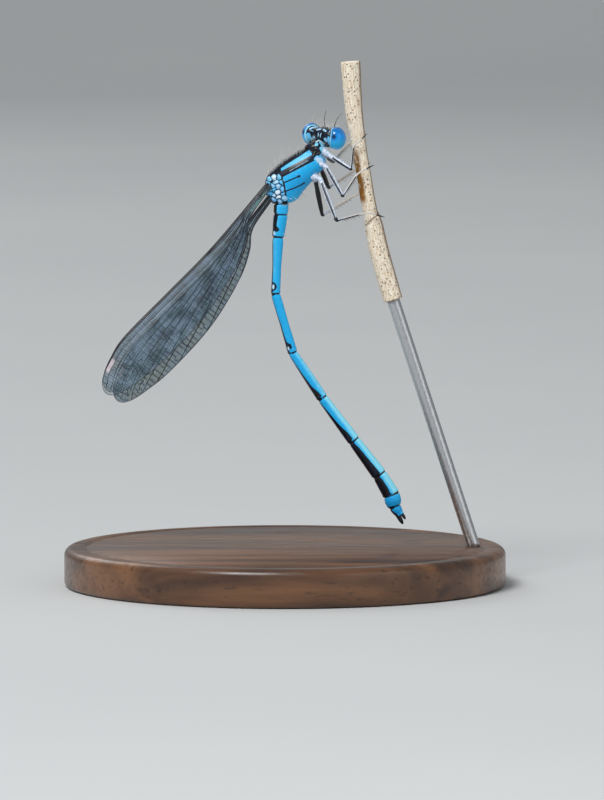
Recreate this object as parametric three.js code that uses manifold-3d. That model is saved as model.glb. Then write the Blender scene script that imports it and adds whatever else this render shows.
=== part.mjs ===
// A male damselfly gripping a short cut length of dry stem, carried by a rod on a round base.
// Millimetres, +Z up. The insect's plane of symmetry is Y = 0, its right side faces -Y, and the
// origin is the centre of the base's underside.
import * as THREE from "three";
import { mergeVertices } from "three/addons/utils/BufferGeometryUtils.js";
import Module from "manifold-3d";

const kernel = await Module();
kernel.setup();

// Driving dimensions
const jointGap = 0.25; // clearance between neighbouring pieces
const weld = 1e-4;
const bodySides = 16;
const thoraxSteps = 16;
const neckShieldSteps = 6;
const neck = { from: [2.45, 0, 33.9], to: [2.85, 0, 34.6], radii: [[0, 0.3], [1, 0.28]], sides: 12 };

const base = { radius: 17, height: 3, edge: 0.6, segments: 40 };
const rod = { radius: 0.5, foot: [14.54, 0, 3.0], sides: 14 };

// Thorax and neck shield as cross sections: back edge x, z, belly edge x, z, half width
const thoraxSections = [
  [1.58, 33.75, 2.88, 33.15, 0.62],
  [1.15, 33.56, 3.15, 32.77, 0.82],
  [0.54, 33.22, 3.05, 32.31, 0.98],
  [-0.14, 32.76, 2.62, 31.81, 1.08],
  [-0.74, 32.24, 2.19, 31.31, 1.1],
  [-1.28, 31.64, 1.74, 30.83, 1.06],
  [-1.5, 30.86, 1.28, 30.25, 0.96],
  [-1.36, 30.04, 0.92, 29.77, 0.8],
  [-0.94, 29.5, 0.42, 29.62, 0.62],
];
const neckShieldSections = [
  [2.08, 34.25, 2.98, 34.02, 0.5],
  [1.77, 34.13, 3.08, 33.76, 0.64],
  [1.52, 33.88, 2.95, 33.46, 0.66],
];

// Head: the midpoint between the eyes, and the directions of its right side and its face
const head = {
  middle: [3.0, 0.2, 34.63],
  right: [0.76, -0.63, -0.095],
  face: [0.651, 0.717, 0.255],
  eyeSpacing: 2.45,
  eye: [0.73, 0.78, 0.89],
  eyeCut: { direction: [0.8, 0.5, 0.2], depth: 0.46 },
};

const antenna = {
  root: [0.36, 0.55, 0.3],
  reach: [0.42, 0.9, 1.25],
  radii: [[0, 0.26], [0.3, 0.24], [0.36, 0.2], [0.7, 0.14], [1, 0.08]],
  sides: 10,
};

// Abdomen: the joints along its middle line, x and z, and each segment's radii from front to rear
const abdomenJoints = [
  [-0.27, 29.35],
  [-0.31, 28.62],
  [-0.52, 26.86],
  [-0.71, 22.48],
  [0.62, 17.94],
  [2.91, 14.46],
  [5.33, 11.18],
  [7.29, 8.55],
  [8.23, 6.98],
  [8.46, 6.08],
  [8.85, 5.46],
];
const abdomenRadii = [
  [0.58, 0.57, 0.55],
  [0.55, 0.52, 0.47],
  [0.43, 0.35, 0.36],
  [0.37, 0.35, 0.38],
  [0.37, 0.41, 0.43],
  [0.42, 0.46, 0.49],
  [0.49, 0.53, 0.575],
  [0.58, 0.62, 0.65],
  [0.65, 0.66, 0.54],
  [0.46, 0.42, 0.34],
];
const clasper = { length: 0.72, radius: 0.2, tip: 0.1, spread: 0.26 };

// Wings: root and tip in the plane of symmetry, distance from it, and the two edges as
// [share of the length, distance from the root-to-tip line]
const wings = {
  fore: { root: [-1.15, 31.0], tip: [-13.7, 14.95], rootOff: 0.75, off: 1.38 },
  hind: { root: [-1.08, 30.0], tip: [-12.85, 14.3], rootOff: 0.42, off: 0.45 },
};
const wingFront = [
  [0, 0.2],
  [0.2, 0.3],
  [0.37, 0.5],
  [0.58, 1.0],
  [0.8, 1.5],
  [0.9, 1.25],
  [0.97, 0.75],
  [1, 0.2],
];
const wingRear = [
  [0, -0.22],
  [0.14, -0.36],
  [0.22, -1.2],
  [0.34, -1.9],
  [0.55, -2.28],
  [0.78, -1.8],
  [0.92, -1.05],
  [1, -0.15],
];
const membrane = 0.25; // half of a wing's thickness
const veinRise = 0.07;
const veinLines = [0.13, 0.4, 0.7];
const veinHalfWidth = 0.03;
const nodus = 0.37;
const wingSpot = { from: 0.885, to: 0.935, depth: 0.12 };

// Legs: coxa, trochanter, knee, ankle, foot and claw, as x, distance out from the plane of
// symmetry, z
const legRoutes = {
  fore_right: [
    [2.69, 0.2, 33.71],
    [3.54, 0.55, 33.13],
    [5.08, 1.3, 32.34],
    [5.27, 1.12, 34.02],
    [5.69, 1.12, 34.3],
    [6.12, 0.98, 34.74],
  ],
  mid_right: [
    [2.0, 0.4, 32.88],
    [3.15, 0.7, 32.37],
    [4.39, 1.82, 30.36],
    [5.5, 1.12, 31.76],
    [5.87, 1.1, 32.02],
    [6.62, 0.9, 32.39],
  ],
  hind_right: [
    [1.8, 0.4, 31.72],
    [2.72, 0.75, 31.42],
    [3.94, 2.38, 28.48],
    [5.83, 1.15, 28.75],
    [6.54, 1.12, 28.82],
    [7.46, 0.8, 28.53],
  ],
  fore_left: [
    [2.69, 0.2, 33.67],
    [3.2, 0.65, 33.09],
    [3.72, 2.07, 32.54],
    [4.92, 1.3, 34.01],
    [5.31, 1.12, 34.36],
    [6.0, 1.05, 34.83],
  ],
  mid_left: [
    [2.0, 0.4, 32.82],
    [2.75, 0.85, 32.13],
    [3.36, 2.39, 30.52],
    [5.15, 1.25, 31.81],
    [5.62, 1.12, 32.05],
    [6.38, 1.0, 32.45],
  ],
  hind_left: [
    [1.8, 0.4, 31.66],
    [2.35, 0.85, 31.18],
    [2.87, 2.03, 28.42],
    [5.15, 1.2, 29.9],
    [5.77, 1.12, 30.17],
    [6.62, 1.0, 30.45],
  ],
};
const legRadii = [0.32, 0.28, 0.25, 0.22, 0.17, 0.08];
const legSides = 8;

// Perch: points along the stem's middle, x, z and radius, from its upper cut to its lower one
const stemPoints = [
  [5.0, 40.38, 0.74],
  [5.27, 36.69, 0.66],
  [5.58, 34.38, 0.6],
  [5.85, 32.85, 0.55],
  [6.08, 31.69, 0.54],
  [6.31, 30.15, 0.55],
  [6.58, 28.77, 0.57],
  [6.81, 27.77, 0.68],
  [7.19, 25.92, 0.72],
  [7.73, 24.0, 0.72],
  [8.3, 22.08, 0.71],
];

const vec = (x, y, z) => new THREE.Vector3(x, y, z);
const unit = (list) => vec(...list).normalize();

// A closed geometry from points and faces, turned so that its faces point out
function closedGeometry(points, faces) {
  let volume = 0;
  for (let i = 0; i < faces.length; i += 3) {
    const [a, b, c] = [points[faces[i]], points[faces[i + 1]], points[faces[i + 2]]];
    volume += a.dot(b.clone().cross(c));
  }
  const ordered = volume < 0 ? faces.slice().reverse() : faces;
  const geometry = new THREE.BufferGeometry();
  const flat = points.flatMap((p) => p.toArray());
  geometry.setAttribute("position", new THREE.Float32BufferAttribute(flat, 3));
  geometry.setIndex(ordered);
  return geometry;
}

// A tube through rings of equal count, closed by a fan at each end
function skin(rings) {
  const sides = rings[0].length;
  const points = rings.flat();
  const faces = [];
  for (let i = 0; i + 1 < rings.length; i++) {
    for (let j = 0; j < sides; j++) {
      const a = i * sides + j;
      const b = i * sides + ((j + 1) % sides);
      faces.push(a, b, b + sides, a, b + sides, a + sides);
    }
  }
  const ends = [rings[0], rings.at(-1)];
  ends.forEach((ring, end) => {
    const middle = ring.reduce((sum, p) => sum.add(p), vec(0, 0, 0)).divideScalar(sides);
    const first = end === 0 ? 0 : (rings.length - 1) * sides;
    points.push(middle);
    for (let j = 0; j < sides; j++) {
      const pair = [first + j, first + ((j + 1) % sides)];
      faces.push(points.length - 1, ...(end === 0 ? pair.reverse() : pair));
    }
  });
  return closedGeometry(points, faces);
}

// The kernel's solid of a geometry, with its shared vertices merged and flat faces dropped
function solidOf(geometry) {
  const bare = geometry.clone();
  for (const name of Object.keys(bare.attributes)) {
    if (name !== "position") bare.deleteAttribute(name);
  }
  const merged = mergeVertices(bare, weld);
  const index = merged.index.array;
  const kept = [];
  for (let i = 0; i < index.length; i += 3) {
    const [a, b, c] = [index[i], index[i + 1], index[i + 2]];
    if (a !== b && b !== c && c !== a) kept.push(a, b, c);
  }
  const mesh = new kernel.Mesh({
    numProp: 3,
    vertProperties: Float32Array.from(merged.attributes.position.array),
    triVerts: Uint32Array.from(kept),
  });
  return new kernel.Manifold(mesh);
}

// The largest closed piece of a solid, as a geometry
function geometryOf(solid) {
  const pieces = solid.decompose().sort((a, b) => b.volume() - a.volume());
  const mesh = pieces[0].getMesh();
  const geometry = new THREE.BufferGeometry();
  geometry.setAttribute("position", new THREE.Float32BufferAttribute(mesh.vertProperties, 3));
  geometry.setIndex(Array.from(mesh.triVerts));
  return geometry;
}

const joined = (solids) => solids.reduce((sum, solid) => sum.add(solid));
const cleared = (solid, neighbours) => neighbours.reduce((rest, other) => rest.subtract(other), solid);

// Body lofted through sections given by their back and belly edges. grow swells it all round
function bodyLoft(sections, steps, grow = 0) {
  const backs = new THREE.CatmullRomCurve3(sections.map(([x, z, , , half]) => vec(x, half, z)));
  const bellies = new THREE.CatmullRomCurve3(sections.map(([, , x, z, half]) => vec(x, half, z)));
  const along = vec(sections.at(-1)[0] - sections[0][0], 0, sections.at(-1)[1] - sections[0][1]).normalize();
  const rings = [];
  for (let i = 0; i <= steps; i++) {
    const back = backs.getPoint(i / steps);
    const belly = bellies.getPoint(i / steps);
    const half = back.y + grow;
    back.y = belly.y = 0;
    const centre = back.clone().add(belly).multiplyScalar(0.5);
    const up = back.clone().sub(centre);
    up.setLength(up.length() + grow);
    if (i === 0) centre.addScaledVector(along, -grow);
    if (i === steps) centre.addScaledVector(along, grow);
    rings.push(bodyRing(centre, up, half));
  }
  return skin(rings);
}

// One cross section: a rounded outline, narrower towards the back's ridge
function bodyRing(centre, up, half) {
  const ring = [];
  for (let j = 0; j < bodySides; j++) {
    const turn = (j / bodySides) * 2 * Math.PI;
    const rise = Math.cos(turn);
    const side = Math.sin(turn);
    const pinch = 1 - 0.22 * Math.max(0, rise);
    const swell = 1 + 0.1 * Math.abs(side * rise);
    const out = vec(0, side * half * pinch * swell, 0);
    ring.push(centre.clone().addScaledVector(up, rise * swell).add(out));
  }
  return ring;
}

// A straight tube with radii along it and its end faces square to the given directions
function tube(from, to, radii, sides, faces = [null, null]) {
  const axis = to.clone().sub(from).normalize();
  const level = vec(0, 1, 0);
  const up = level.clone().cross(axis).normalize();
  const side = axis.clone().cross(up).normalize();
  const rings = radii.map(([share, radius], i) => {
    const centre = from.clone().lerp(to, share);
    const face = i === 0 ? faces[0] : i === radii.length - 1 ? faces[1] : null;
    const ring = [];
    for (let j = 0; j < sides; j++) {
      const turn = (j / sides) * 2 * Math.PI;
      const out = up.clone().multiplyScalar(radius * Math.cos(turn));
      out.addScaledVector(side, radius * Math.sin(turn));
      const slide = face ? -out.dot(face) / axis.dot(face) : 0;
      ring.push(centre.clone().add(out).addScaledVector(axis, slide));
    }
    return ring;
  });
  return skin(rings);
}

// A stem lofted along its middle line, with radii from its points. grow swells it
function stemGeometry(grow = 0) {
  const sides = 12;
  const steps = 22;
  const line = new THREE.CatmullRomCurve3(stemPoints.map(([x, z, radius]) => vec(x, radius, z)));
  const rings = [];
  for (let i = 0; i <= steps; i++) {
    const here = line.getPoint(i / steps);
    const ahead = line.getTangent(i / steps).setY(0).normalize();
    const out = vec(-ahead.z, 0, ahead.x);
    const ring = [];
    for (let j = 0; j < sides; j++) {
      const turn = (j / sides) * 2 * Math.PI;
      const rib = 1 + 0.03 * Math.cos(3 * turn + i * 0.35);
      const radius = here.y * rib + grow;
      ring.push(
        vec(here.x, 0, here.z)
          .addScaledVector(out, radius * Math.cos(turn))
          .add(vec(0, radius * Math.sin(turn), 0)),
      );
    }
    rings.push(ring);
  }
  return skin(rings);
}

// An ellipsoid in the head's own directions: right, face and crown
function headEllipsoid(centre, radii, grow = 0, sides = [14, 9]) {
  const ball = new THREE.SphereGeometry(1, ...sides);
  ball.rotateX(Math.PI / 2);
  ball.scale(...radii.map((radius) => radius + grow));
  ball.translate(...centre);
  return ball;
}

// The half of space beyond a plane, as a large block
function halfSpace(direction, distance) {
  const size = 8;
  const block = new THREE.BoxGeometry(size, size, size);
  block.translate(0, 0, size / 2 + distance);
  block.applyQuaternion(new THREE.Quaternion().setFromUnitVectors(vec(0, 0, 1), direction));
  return solidOf(block);
}

const headTurn = (() => {
  const right = unit(head.right);
  const face = unit(head.face);
  const crown = right.clone().cross(face).normalize();
  face.copy(crown).cross(right);
  return new THREE.Matrix4().makeBasis(right, face, crown).setPosition(...head.middle);
})();

// An eye is the outer cap of its lobe. grow swells it, for the clearance round it
function eyeSolid(side, grow = 0) {
  const centre = [(side * head.eyeSpacing) / 2, 0, 0];
  const [x, y, z] = head.eyeCut.direction;
  const direction = vec(side * x, y, z).normalize();
  const distance = direction.dot(vec(...centre)) - head.eyeCut.depth - grow;
  return solidOf(headEllipsoid(centre, head.eye, grow, [20, 13])).intersect(halfSpace(direction, distance));
}

// Skull, brow, shield of the face, lips and jaws. grow swells it, for the feelers' clearance
function headSolid(grow = 0) {
  const shapes = [
    [[-head.eyeSpacing / 2, -0.02, 0], [0.66, 0.72, 0.84]],
    [[head.eyeSpacing / 2, -0.02, 0], [0.66, 0.72, 0.84]],
    [[0, 0.02, 0.05], [1.35, 0.6, 0.6]],
    [[0, 0.5, 0.1], [0.66, 0.42, 0.44]],
    [[0, 0.68, -0.28], [0.52, 0.32, 0.3]],
    [[0, 0.6, -0.58], [0.46, 0.3, 0.2]],
    [[0, 0.3, -0.72], [0.46, 0.46, 0.22]],
  ];
  const whole = joined(shapes.map(([centre, radii]) => solidOf(headEllipsoid(centre, radii, grow))));
  const ocelli = [[0, 0.5], [-0.2, 0.3], [0.2, 0.3]].map(([x, y]) =>
    solidOf(headEllipsoid([x, y, 0.57], [0.1, 0.1, 0.1], grow, [8, 6])),
  );
  const mouth = new THREE.TorusGeometry(0.62, 0.05, 6, 24);
  mouth.scale(0.85, 1, 1).translate(0, 0.3, -0.68);
  const full = joined([whole, ...ocelli]);
  return grow > 0 ? full : cleared(full, [solidOf(mouth), eyeSolid(-1, jointGap), eyeSolid(1, jointGap)]);
}

// A feeler: thick first joints, then a lash that thins to its tip
function antennaSolid(side) {
  const root = vec(side * antenna.root[0], antenna.root[1], antenna.root[2]);
  const tip = root.clone().add(vec(side * antenna.reach[0], antenna.reach[1], antenna.reach[2]));
  const lash = solidOf(tube(root, tip, antenna.radii, antenna.sides));
  return cleared(lash, [headSolid(jointGap), eyeSolid(side, jointGap)]);
}

// Smooth value along [share, value] pairs
function profile(pairs) {
  const curve = new THREE.SplineCurve(pairs.map(([share, value]) => new THREE.Vector2(share, value)));
  const samples = curve.getPoints(240);
  return (share) => {
    const next = samples.findIndex((p) => p.x >= share);
    if (next <= 0) return samples.at(next).y;
    const [a, b] = [samples[next - 1], samples[next]];
    return a.y + ((b.y - a.y) * (share - a.x)) / Math.max(b.x - a.x, weld);
  };
}

const frontEdge = profile(wingFront);
const rearEdge = profile(wingRear);

// Stations along and across a wing, with three close lines at each vein
const wingStations = [0, 0.07, 0.14, 0.18, 0.22, 0.28, 0.355, nodus, 0.385, 0.46, 0.55, 0.64, 0.73, 0.81,
  wingSpot.from - 0.008, wingSpot.from, wingSpot.to, wingSpot.to + 0.008, 0.965, 0.985, 1];
const wingLines = [0, ...veinLines.flatMap((v) => [v - veinHalfWidth, v, v + veinHalfWidth]), 1];

function veinHeight(share, line) {
  const onVein = veinLines.includes(line) || line === 0;
  const onNodus = share === nodus && line <= veinLines[1];
  const onSpot = share >= wingSpot.from && share <= wingSpot.to && line <= wingSpot.depth;
  return onVein || onNodus || onSpot ? veinRise : 0;
}

// A thin closed wing, split into triangles alike on both faces
function wingSolid(form, side) {
  const root = vec(form.root[0], 0, form.root[1]);
  const tip = vec(form.tip[0], 0, form.tip[1]);
  const along = tip.clone().sub(root);
  const front = vec(along.z, 0, -along.x).normalize();
  const columns = wingLines.length;
  const faces = [];
  const layers = [1, -1].map((face) =>
    wingStations.flatMap((share) =>
      wingLines.map((line) => {
        const ramp = THREE.MathUtils.smoothstep(share, 0, 0.16);
        const off = THREE.MathUtils.lerp(form.rootOff, form.off, ramp);
        const across = THREE.MathUtils.lerp(frontEdge(share), rearEdge(share), line);
        const y = side * off + face * (membrane + veinHeight(share, line));
        return root.clone().addScaledVector(along, share).addScaledVector(front, across).setY(y);
      }),
    ),
  );
  const count = layers[0].length;
  for (let i = 0; i + 1 < wingStations.length; i++) {
    for (let j = 0; j + 1 < columns; j++) {
      const [a, b] = [i * columns + j, i * columns + j + 1];
      const [c, d] = [a + columns, b + columns];
      faces.push(a, b, d, a, d, c);
      faces.push(a + count, d + count, b + count, a + count, c + count, d + count);
    }
  }
  const rim = [];
  for (let j = 0; j < columns; j++) rim.push(j);
  for (let i = 1; i < wingStations.length; i++) rim.push(i * columns + columns - 1);
  for (let j = columns - 2; j >= 0; j--) rim.push((wingStations.length - 1) * columns + j);
  for (let i = wingStations.length - 2; i > 0; i--) rim.push(i * columns);
  rim.forEach((a, k) => {
    const b = rim[(k + 1) % rim.length];
    faces.push(b, a, a + count, b, a + count, b + count);
  });
  return solidOf(closedGeometry(layers.flat(), faces));
}

// The rings of a leg at one joint: square ones before and after it, and one that halves the bend
function jointRings(before, joint, after, radius) {
  const into = joint.clone().sub(before).normalize();
  const on = after.clone().sub(joint).normalize();
  const inward = on.clone().sub(into);
  const level = inward.clone().cross(into.clone().add(on)).normalize();
  const half = (Math.PI - into.angleTo(on)) / 2;
  const reach = Math.min(Math.max(0.06, (1.1 * radius) / Math.tan(half)), joint.distanceTo(before) * 0.4);
  const tall = Math.min(radius / Math.sin(half), radius * 1.5);
  const middle = inward.clone().normalize();
  return [
    legRing(joint.clone().addScaledVector(into, -reach), level.clone().cross(into), level, radius, radius),
    legRing(joint, middle, level, tall, radius),
    legRing(joint.clone().addScaledVector(on, reach), level.clone().cross(on), level, radius, radius),
  ];
}

function legRing(centre, up, level, tall, wide) {
  return Array.from({ length: legSides }, (_, j) => {
    const turn = (j / legSides) * 2 * Math.PI;
    return centre
      .clone()
      .addScaledVector(up, tall * Math.cos(turn))
      .addScaledVector(level, wide * Math.sin(turn));
  });
}

// Turns each ring's start so that it follows the one before
function aligned(rings) {
  for (let i = 1; i < rings.length; i++) {
    const count = rings[i].length;
    const before = rings[i - 1];
    const gap = (ring, shift) =>
      before.reduce((sum, p, j) => sum + p.distanceTo(ring[(j + shift) % count]), 0);
    const choices = [rings[i], rings[i].slice().reverse()].flatMap((ring) =>
      ring.map((_, shift) => ({ ring, shift, gap: gap(ring, shift) })),
    );
    const best = choices.sort((a, b) => a.gap - b.gap)[0];
    rings[i] = best.ring.map((_, j) => best.ring[(j + best.shift) % count]);
  }
  return rings;
}

// A leg as one tube through its joints
function legSolid(route, side) {
  const points = route.map(([x, out, z]) => vec(x, side * out, z));
  const inner = points
    .slice(1, -1)
    .map((joint, i) => jointRings(points[i], joint, points[i + 2], legRadii[i + 1]));
  const squareRing = (at, like, radius) => {
    const middle = like.reduce((sum, p) => sum.add(p), vec(0, 0, 0)).divideScalar(like.length);
    return like.map((p) => at.clone().add(p.clone().sub(middle).setLength(radius)));
  };
  const first = squareRing(points[0], inner[0][0], legRadii[0]);
  const last = squareRing(points.at(-1), inner.at(-1)[2], legRadii.at(-1));
  return solidOf(skin(aligned([first, ...inner.flat(), last])));
}

// Colours and surfaces
const finish = (color, roughness, metalness = 0) =>
  new THREE.MeshStandardMaterial({ color, roughness, metalness });
const finishes = {
  body: finish(0x2eb2e8, 0.4),
  eye: finish(0x0a7fe0, 0.2),
  wing: finish(0x4a4f5c, 0.25),
  leg: finish(0x8f9cc0, 0.45),
  stem: finish(0xd8c6a4, 0.85),
  wood: finish(0x4a3022, 0.5),
  steel: finish(0xb9bcc0, 0.3, 1),
};

const model = new THREE.Group();
function addPart(name, solid, material, parent = model) {
  const mesh = new THREE.Mesh(geometryOf(solid), material);
  mesh.name = name;
  parent.add(mesh);
}

const headGroup = new THREE.Group();
headTurn.decompose(headGroup.position, headGroup.quaternion, headGroup.scale);
model.add(headGroup);
addPart("head", headSolid(), finishes.body, headGroup);
for (const [name, side] of [["left", -1], ["right", 1]]) {
  addPart(`eye_${name}`, eyeSolid(side), finishes.eye, headGroup);
  addPart(`antenna_${name}`, antennaSolid(side), finishes.body, headGroup);
}

// The neck runs from the neck shield towards the skull, and stops short of it
const grownHead = headSolid(jointGap).transform(headTurn.toArray());
const neckTube = tube(vec(...neck.from), vec(...neck.to), neck.radii, neck.sides);
const neckShield = joined([solidOf(bodyLoft(neckShieldSections, neckShieldSteps)), solidOf(neckTube)]);
addPart("prothorax", cleared(neckShield, [grownHead]), finishes.body);
addPart("thorax", solidOf(bodyLoft(thoraxSections, thoraxSteps)), finishes.body);

// The abdomen's ten segments, whose end faces halve the angle at each joint
const joints = abdomenJoints.map(([x, z]) => vec(x, 0, z));
const courses = joints.slice(1).map((joint, k) => joint.clone().sub(joints[k]).normalize());
const jointFaces = joints.map((_, k) => {
  const before = courses[Math.max(0, k - 1)];
  const after = courses[Math.min(courses.length - 1, k)];
  return before.clone().add(after).normalize();
});
const segmentSolid = (k, grow = 0) => {
  const [front, middle, rear] = abdomenRadii[k].map((radius) => radius + grow);
  const inset = jointGap / 2 - grow;
  const from = joints[k].clone().addScaledVector(courses[k], inset);
  const to = joints[k + 1].clone().addScaledVector(courses[k], -inset);
  const radii = [[0, front * 0.95], [0.12, front], [0.5, middle], [0.86, rear], [1, rear * 0.97]];
  return solidOf(tube(from, to, radii, bodySides, [jointFaces[k], jointFaces[k + 1]]));
};
abdomenRadii.forEach((_, k) => addPart(`abdomen_${k + 1}`, segmentSolid(k), finishes.body));

const tail = joints.at(-1).clone().addScaledVector(courses.at(-1), jointGap / 2);
for (const [name, side] of [["left", 1], ["right", -1]]) {
  const from = tail.clone().setY(side * clasper.spread);
  const to = from.clone().addScaledVector(courses.at(-1), clasper.length);
  const radii = [[0, clasper.radius], [0.6, clasper.radius * 0.85], [1, clasper.tip]];
  addPart(`clasper_${name}`, solidOf(tube(from, to, radii, 8)), finishes.body);
}

const grownThorax = solidOf(bodyLoft(thoraxSections, thoraxSteps, jointGap));
const grownShield = solidOf(bodyLoft(neckShieldSections, neckShieldSteps, jointGap));
const grownStem = solidOf(stemGeometry(jointGap));
for (const [pair, form] of Object.entries(wings)) {
  for (const [name, side] of [["left", 1], ["right", -1]]) {
    const neighbours = [grownThorax, segmentSolid(0, jointGap), segmentSolid(1, jointGap)];
    const solid = cleared(wingSolid(form, side), neighbours);
    addPart(`wing_${pair}_${name}`, solid, finishes.wing);
  }
}
for (const [name, route] of Object.entries(legRoutes)) {
  const side = name.endsWith("left") ? 1 : -1;
  const solid = cleared(legSolid(route, side), [grownThorax, grownShield, grownStem]);
  addPart(`leg_${name}`, solid, finishes.leg);
}

// Perch, rod and base
addPart("perch", solidOf(stemGeometry()), finishes.stem);
const stemEnd = vec(stemPoints.at(-1)[0], 0, stemPoints.at(-1)[1]);
const rodFoot = vec(...rod.foot);
const rodCourse = rodFoot.clone().sub(stemEnd).normalize();
const rodTop = stemEnd.clone().addScaledVector(rodCourse, jointGap);
const rodEnd = rodFoot.clone().addScaledVector(rodCourse, jointGap / rodCourse.z);
const rodRadii = [[0, rod.radius], [1, rod.radius]];
const rodTube = tube(rodTop, rodEnd, rodRadii, rod.sides, [null, vec(0, 0, 1)]);
addPart("stand_rod", solidOf(rodTube), finishes.steel);

const { radius, height, edge } = base;
const rounding = [0, 1, 2, 3].map((k) => (k / 3) * (Math.PI / 2));
const outline = [
  new THREE.Vector2(0, 0),
  new THREE.Vector2(radius - edge / 2, 0),
  new THREE.Vector2(radius, edge / 2),
  ...rounding.map((turn) => {
    const inset = edge * (1 - Math.cos(turn));
    return new THREE.Vector2(radius - inset, height - edge * (1 - Math.sin(turn)));
  }),
  new THREE.Vector2(0, height),
];
const disc = new THREE.LatheGeometry(outline, base.segments);
disc.rotateX(Math.PI / 2);
addPart("stand_base", solidOf(disc), finishes.wood);

export default model;
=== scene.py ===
# Looks of a still damselfly gripping a cut stem, held by a rod on a round wooden base.
# Sizes are millimetres. Pieces are modelled in millimetres and turned to metres when finished.
import math

import bmesh
import bpy
import numpy as np
from mathutils import Matrix, Vector


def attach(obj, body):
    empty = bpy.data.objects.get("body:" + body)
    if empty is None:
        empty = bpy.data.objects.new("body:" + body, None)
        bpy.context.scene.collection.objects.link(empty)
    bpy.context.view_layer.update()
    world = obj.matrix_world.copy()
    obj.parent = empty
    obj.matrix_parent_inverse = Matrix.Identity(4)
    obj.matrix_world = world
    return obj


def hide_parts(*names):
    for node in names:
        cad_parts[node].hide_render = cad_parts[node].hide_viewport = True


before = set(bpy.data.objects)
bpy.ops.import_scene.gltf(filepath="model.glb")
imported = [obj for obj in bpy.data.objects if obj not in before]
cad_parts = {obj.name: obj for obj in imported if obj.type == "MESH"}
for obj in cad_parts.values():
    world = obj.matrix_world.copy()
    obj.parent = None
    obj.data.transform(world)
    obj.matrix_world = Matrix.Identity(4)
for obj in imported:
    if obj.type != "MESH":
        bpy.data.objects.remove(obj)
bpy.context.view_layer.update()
metre = 0.001  # one millimetre in metres


def linear(code, alpha=1.0):
    channels = [int(code[i:i + 2], 16) / 255 for i in (1, 3, 5)]
    return [c / 12.92 if c <= 0.04045 else ((c + 0.055) / 1.055) ** 2.4 for c in channels] + [alpha]


def perMetre(size):
    return 1 / (size * metre)  # scale of a pattern whose features are this many millimetres


def addNode(tree, kind, settings, inputs, output=0, into=None):
    # A socket among the inputs is linked and any other value is set
    # One output is given back, and linked on to the socket that into names
    made = tree.nodes.new(kind)
    for key, value in settings.items():
        setattr(made, key, value)
    for key, value in inputs.items():
        if isinstance(value, bpy.types.NodeSocket):
            tree.links.new(value, made.inputs[key])
        else:
            made.inputs[key].default_value = value
    if into:
        tree.links.new(made.outputs[output], into)
    return made.outputs[output] if made.outputs else None


# The kinds of node and the settings that are used most
mixNode, rangeNode, noiseNode = "ShaderNodeMix", "ShaderNodeMapRange", "ShaderNodeTexNoise"
mathNode, bumpNode, mapNode = "ShaderNodeMath", "ShaderNodeBump", "ShaderNodeMapping"
cellNode = "ShaderNodeTexVoronoi"
colourMix, softly = {"data_type": "RGBA"}, {"interpolation_type": "SMOOTHSTEP"}
number, vector = {"data_type": "FLOAT"}, {"data_type": "FLOAT_VECTOR"}
product, total = {"operation": "MULTIPLY"}, {"operation": "ADD"}

# Mesh helpers

def meshObject(name, points, faces, edges=()):
    mesh = bpy.data.meshes.new(name)
    mesh.from_pydata([tuple(p) for p in points], list(edges), [tuple(f) for f in faces])
    mesh.update()
    made = bpy.data.objects.new(name, mesh)
    bpy.context.scene.collection.objects.link(made)
    return made


def pointsOf(thing):
    flat = np.zeros(len(thing.data.vertices) * 3)
    thing.data.vertices.foreach_get("co", flat)
    return flat.reshape(-1, 3)


def normalsOf(thing):
    flat = np.zeros(len(thing.data.vertices) * 3)
    thing.data.vertices.foreach_get("normal", flat)
    return flat.reshape(-1, 3)


def setValue(thing, name, values):
    layer = thing.data.attributes.get(name) or thing.data.attributes.new(name, "FLOAT", "POINT")
    layer.data.foreach_set("value", np.asarray(values, np.float32))


def turnedOut(thing):
    work = bmesh.new()
    work.from_mesh(thing.data)
    bmesh.ops.remove_doubles(work, verts=work.verts, dist=1e-5)
    bmesh.ops.recalc_face_normals(work, faces=work.faces)
    work.to_mesh(thing.data)
    work.free()
    return thing


def circle(sides):
    return np.linspace(0, 2 * math.pi, sides, endpoint=False)


def spokes(turn, up, side=(0, 1, 0)):
    # Directions round a ring, starting at up and turning to side
    return np.cos(turn)[:, None] * np.asarray(up) + np.sin(turn)[:, None] * np.asarray(side)


def ringFaces(rows, sides):
    faces = []
    for start in range(0, (rows - 1) * sides, sides):
        for j in range(sides):
            a, b = start + j, start + (j + 1) % sides
            faces.append((a, b, b + sides, a + sides))
    return faces


def loft(name, rings):
    # Rings joined to a tube, with a fan of faces over each end
    rings = np.asarray(rings, float)
    rows, sides = rings.shape[:2]
    first, last = rows * sides, rows * sides + 1
    points = np.vstack([rings.reshape(-1, 3), rings[0].mean(0), rings[-1].mean(0)])
    faces = ringFaces(rows, sides)
    faces += [(first, (j + 1) % sides, j) for j in range(sides)]
    faces += [(last, first - sides + j, first - sides + (j + 1) % sides) for j in range(sides)]
    return turnedOut(meshObject(name, points, faces))


def smoothLine(points, count):
    p = np.array(points, float)
    p = np.vstack([2 * p[0] - p[1], p, 2 * p[-1] - p[-2]])
    t = np.linspace(0, len(p) - 3, count)
    i = np.minimum(t.astype(int), len(p) - 4)
    f = (t - i)[:, None]
    a, b, c, d = p[i], p[i + 1], p[i + 2], p[i + 3]
    return 0.5 * (2 * b + (c - a) * f + (2 * a - 5 * b + 4 * c - d) * f ** 2
                  + (3 * b - a - 3 * c + d) * f ** 3)


def unit(v):
    v = np.asarray(v, float)
    return v / np.linalg.norm(v, axis=-1, keepdims=True)


def smoothStep(x, low, high):
    t = np.clip((np.asarray(x, float) - low) / (high - low), 0, 1)
    return t * t * (3 - 2 * t)


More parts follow.
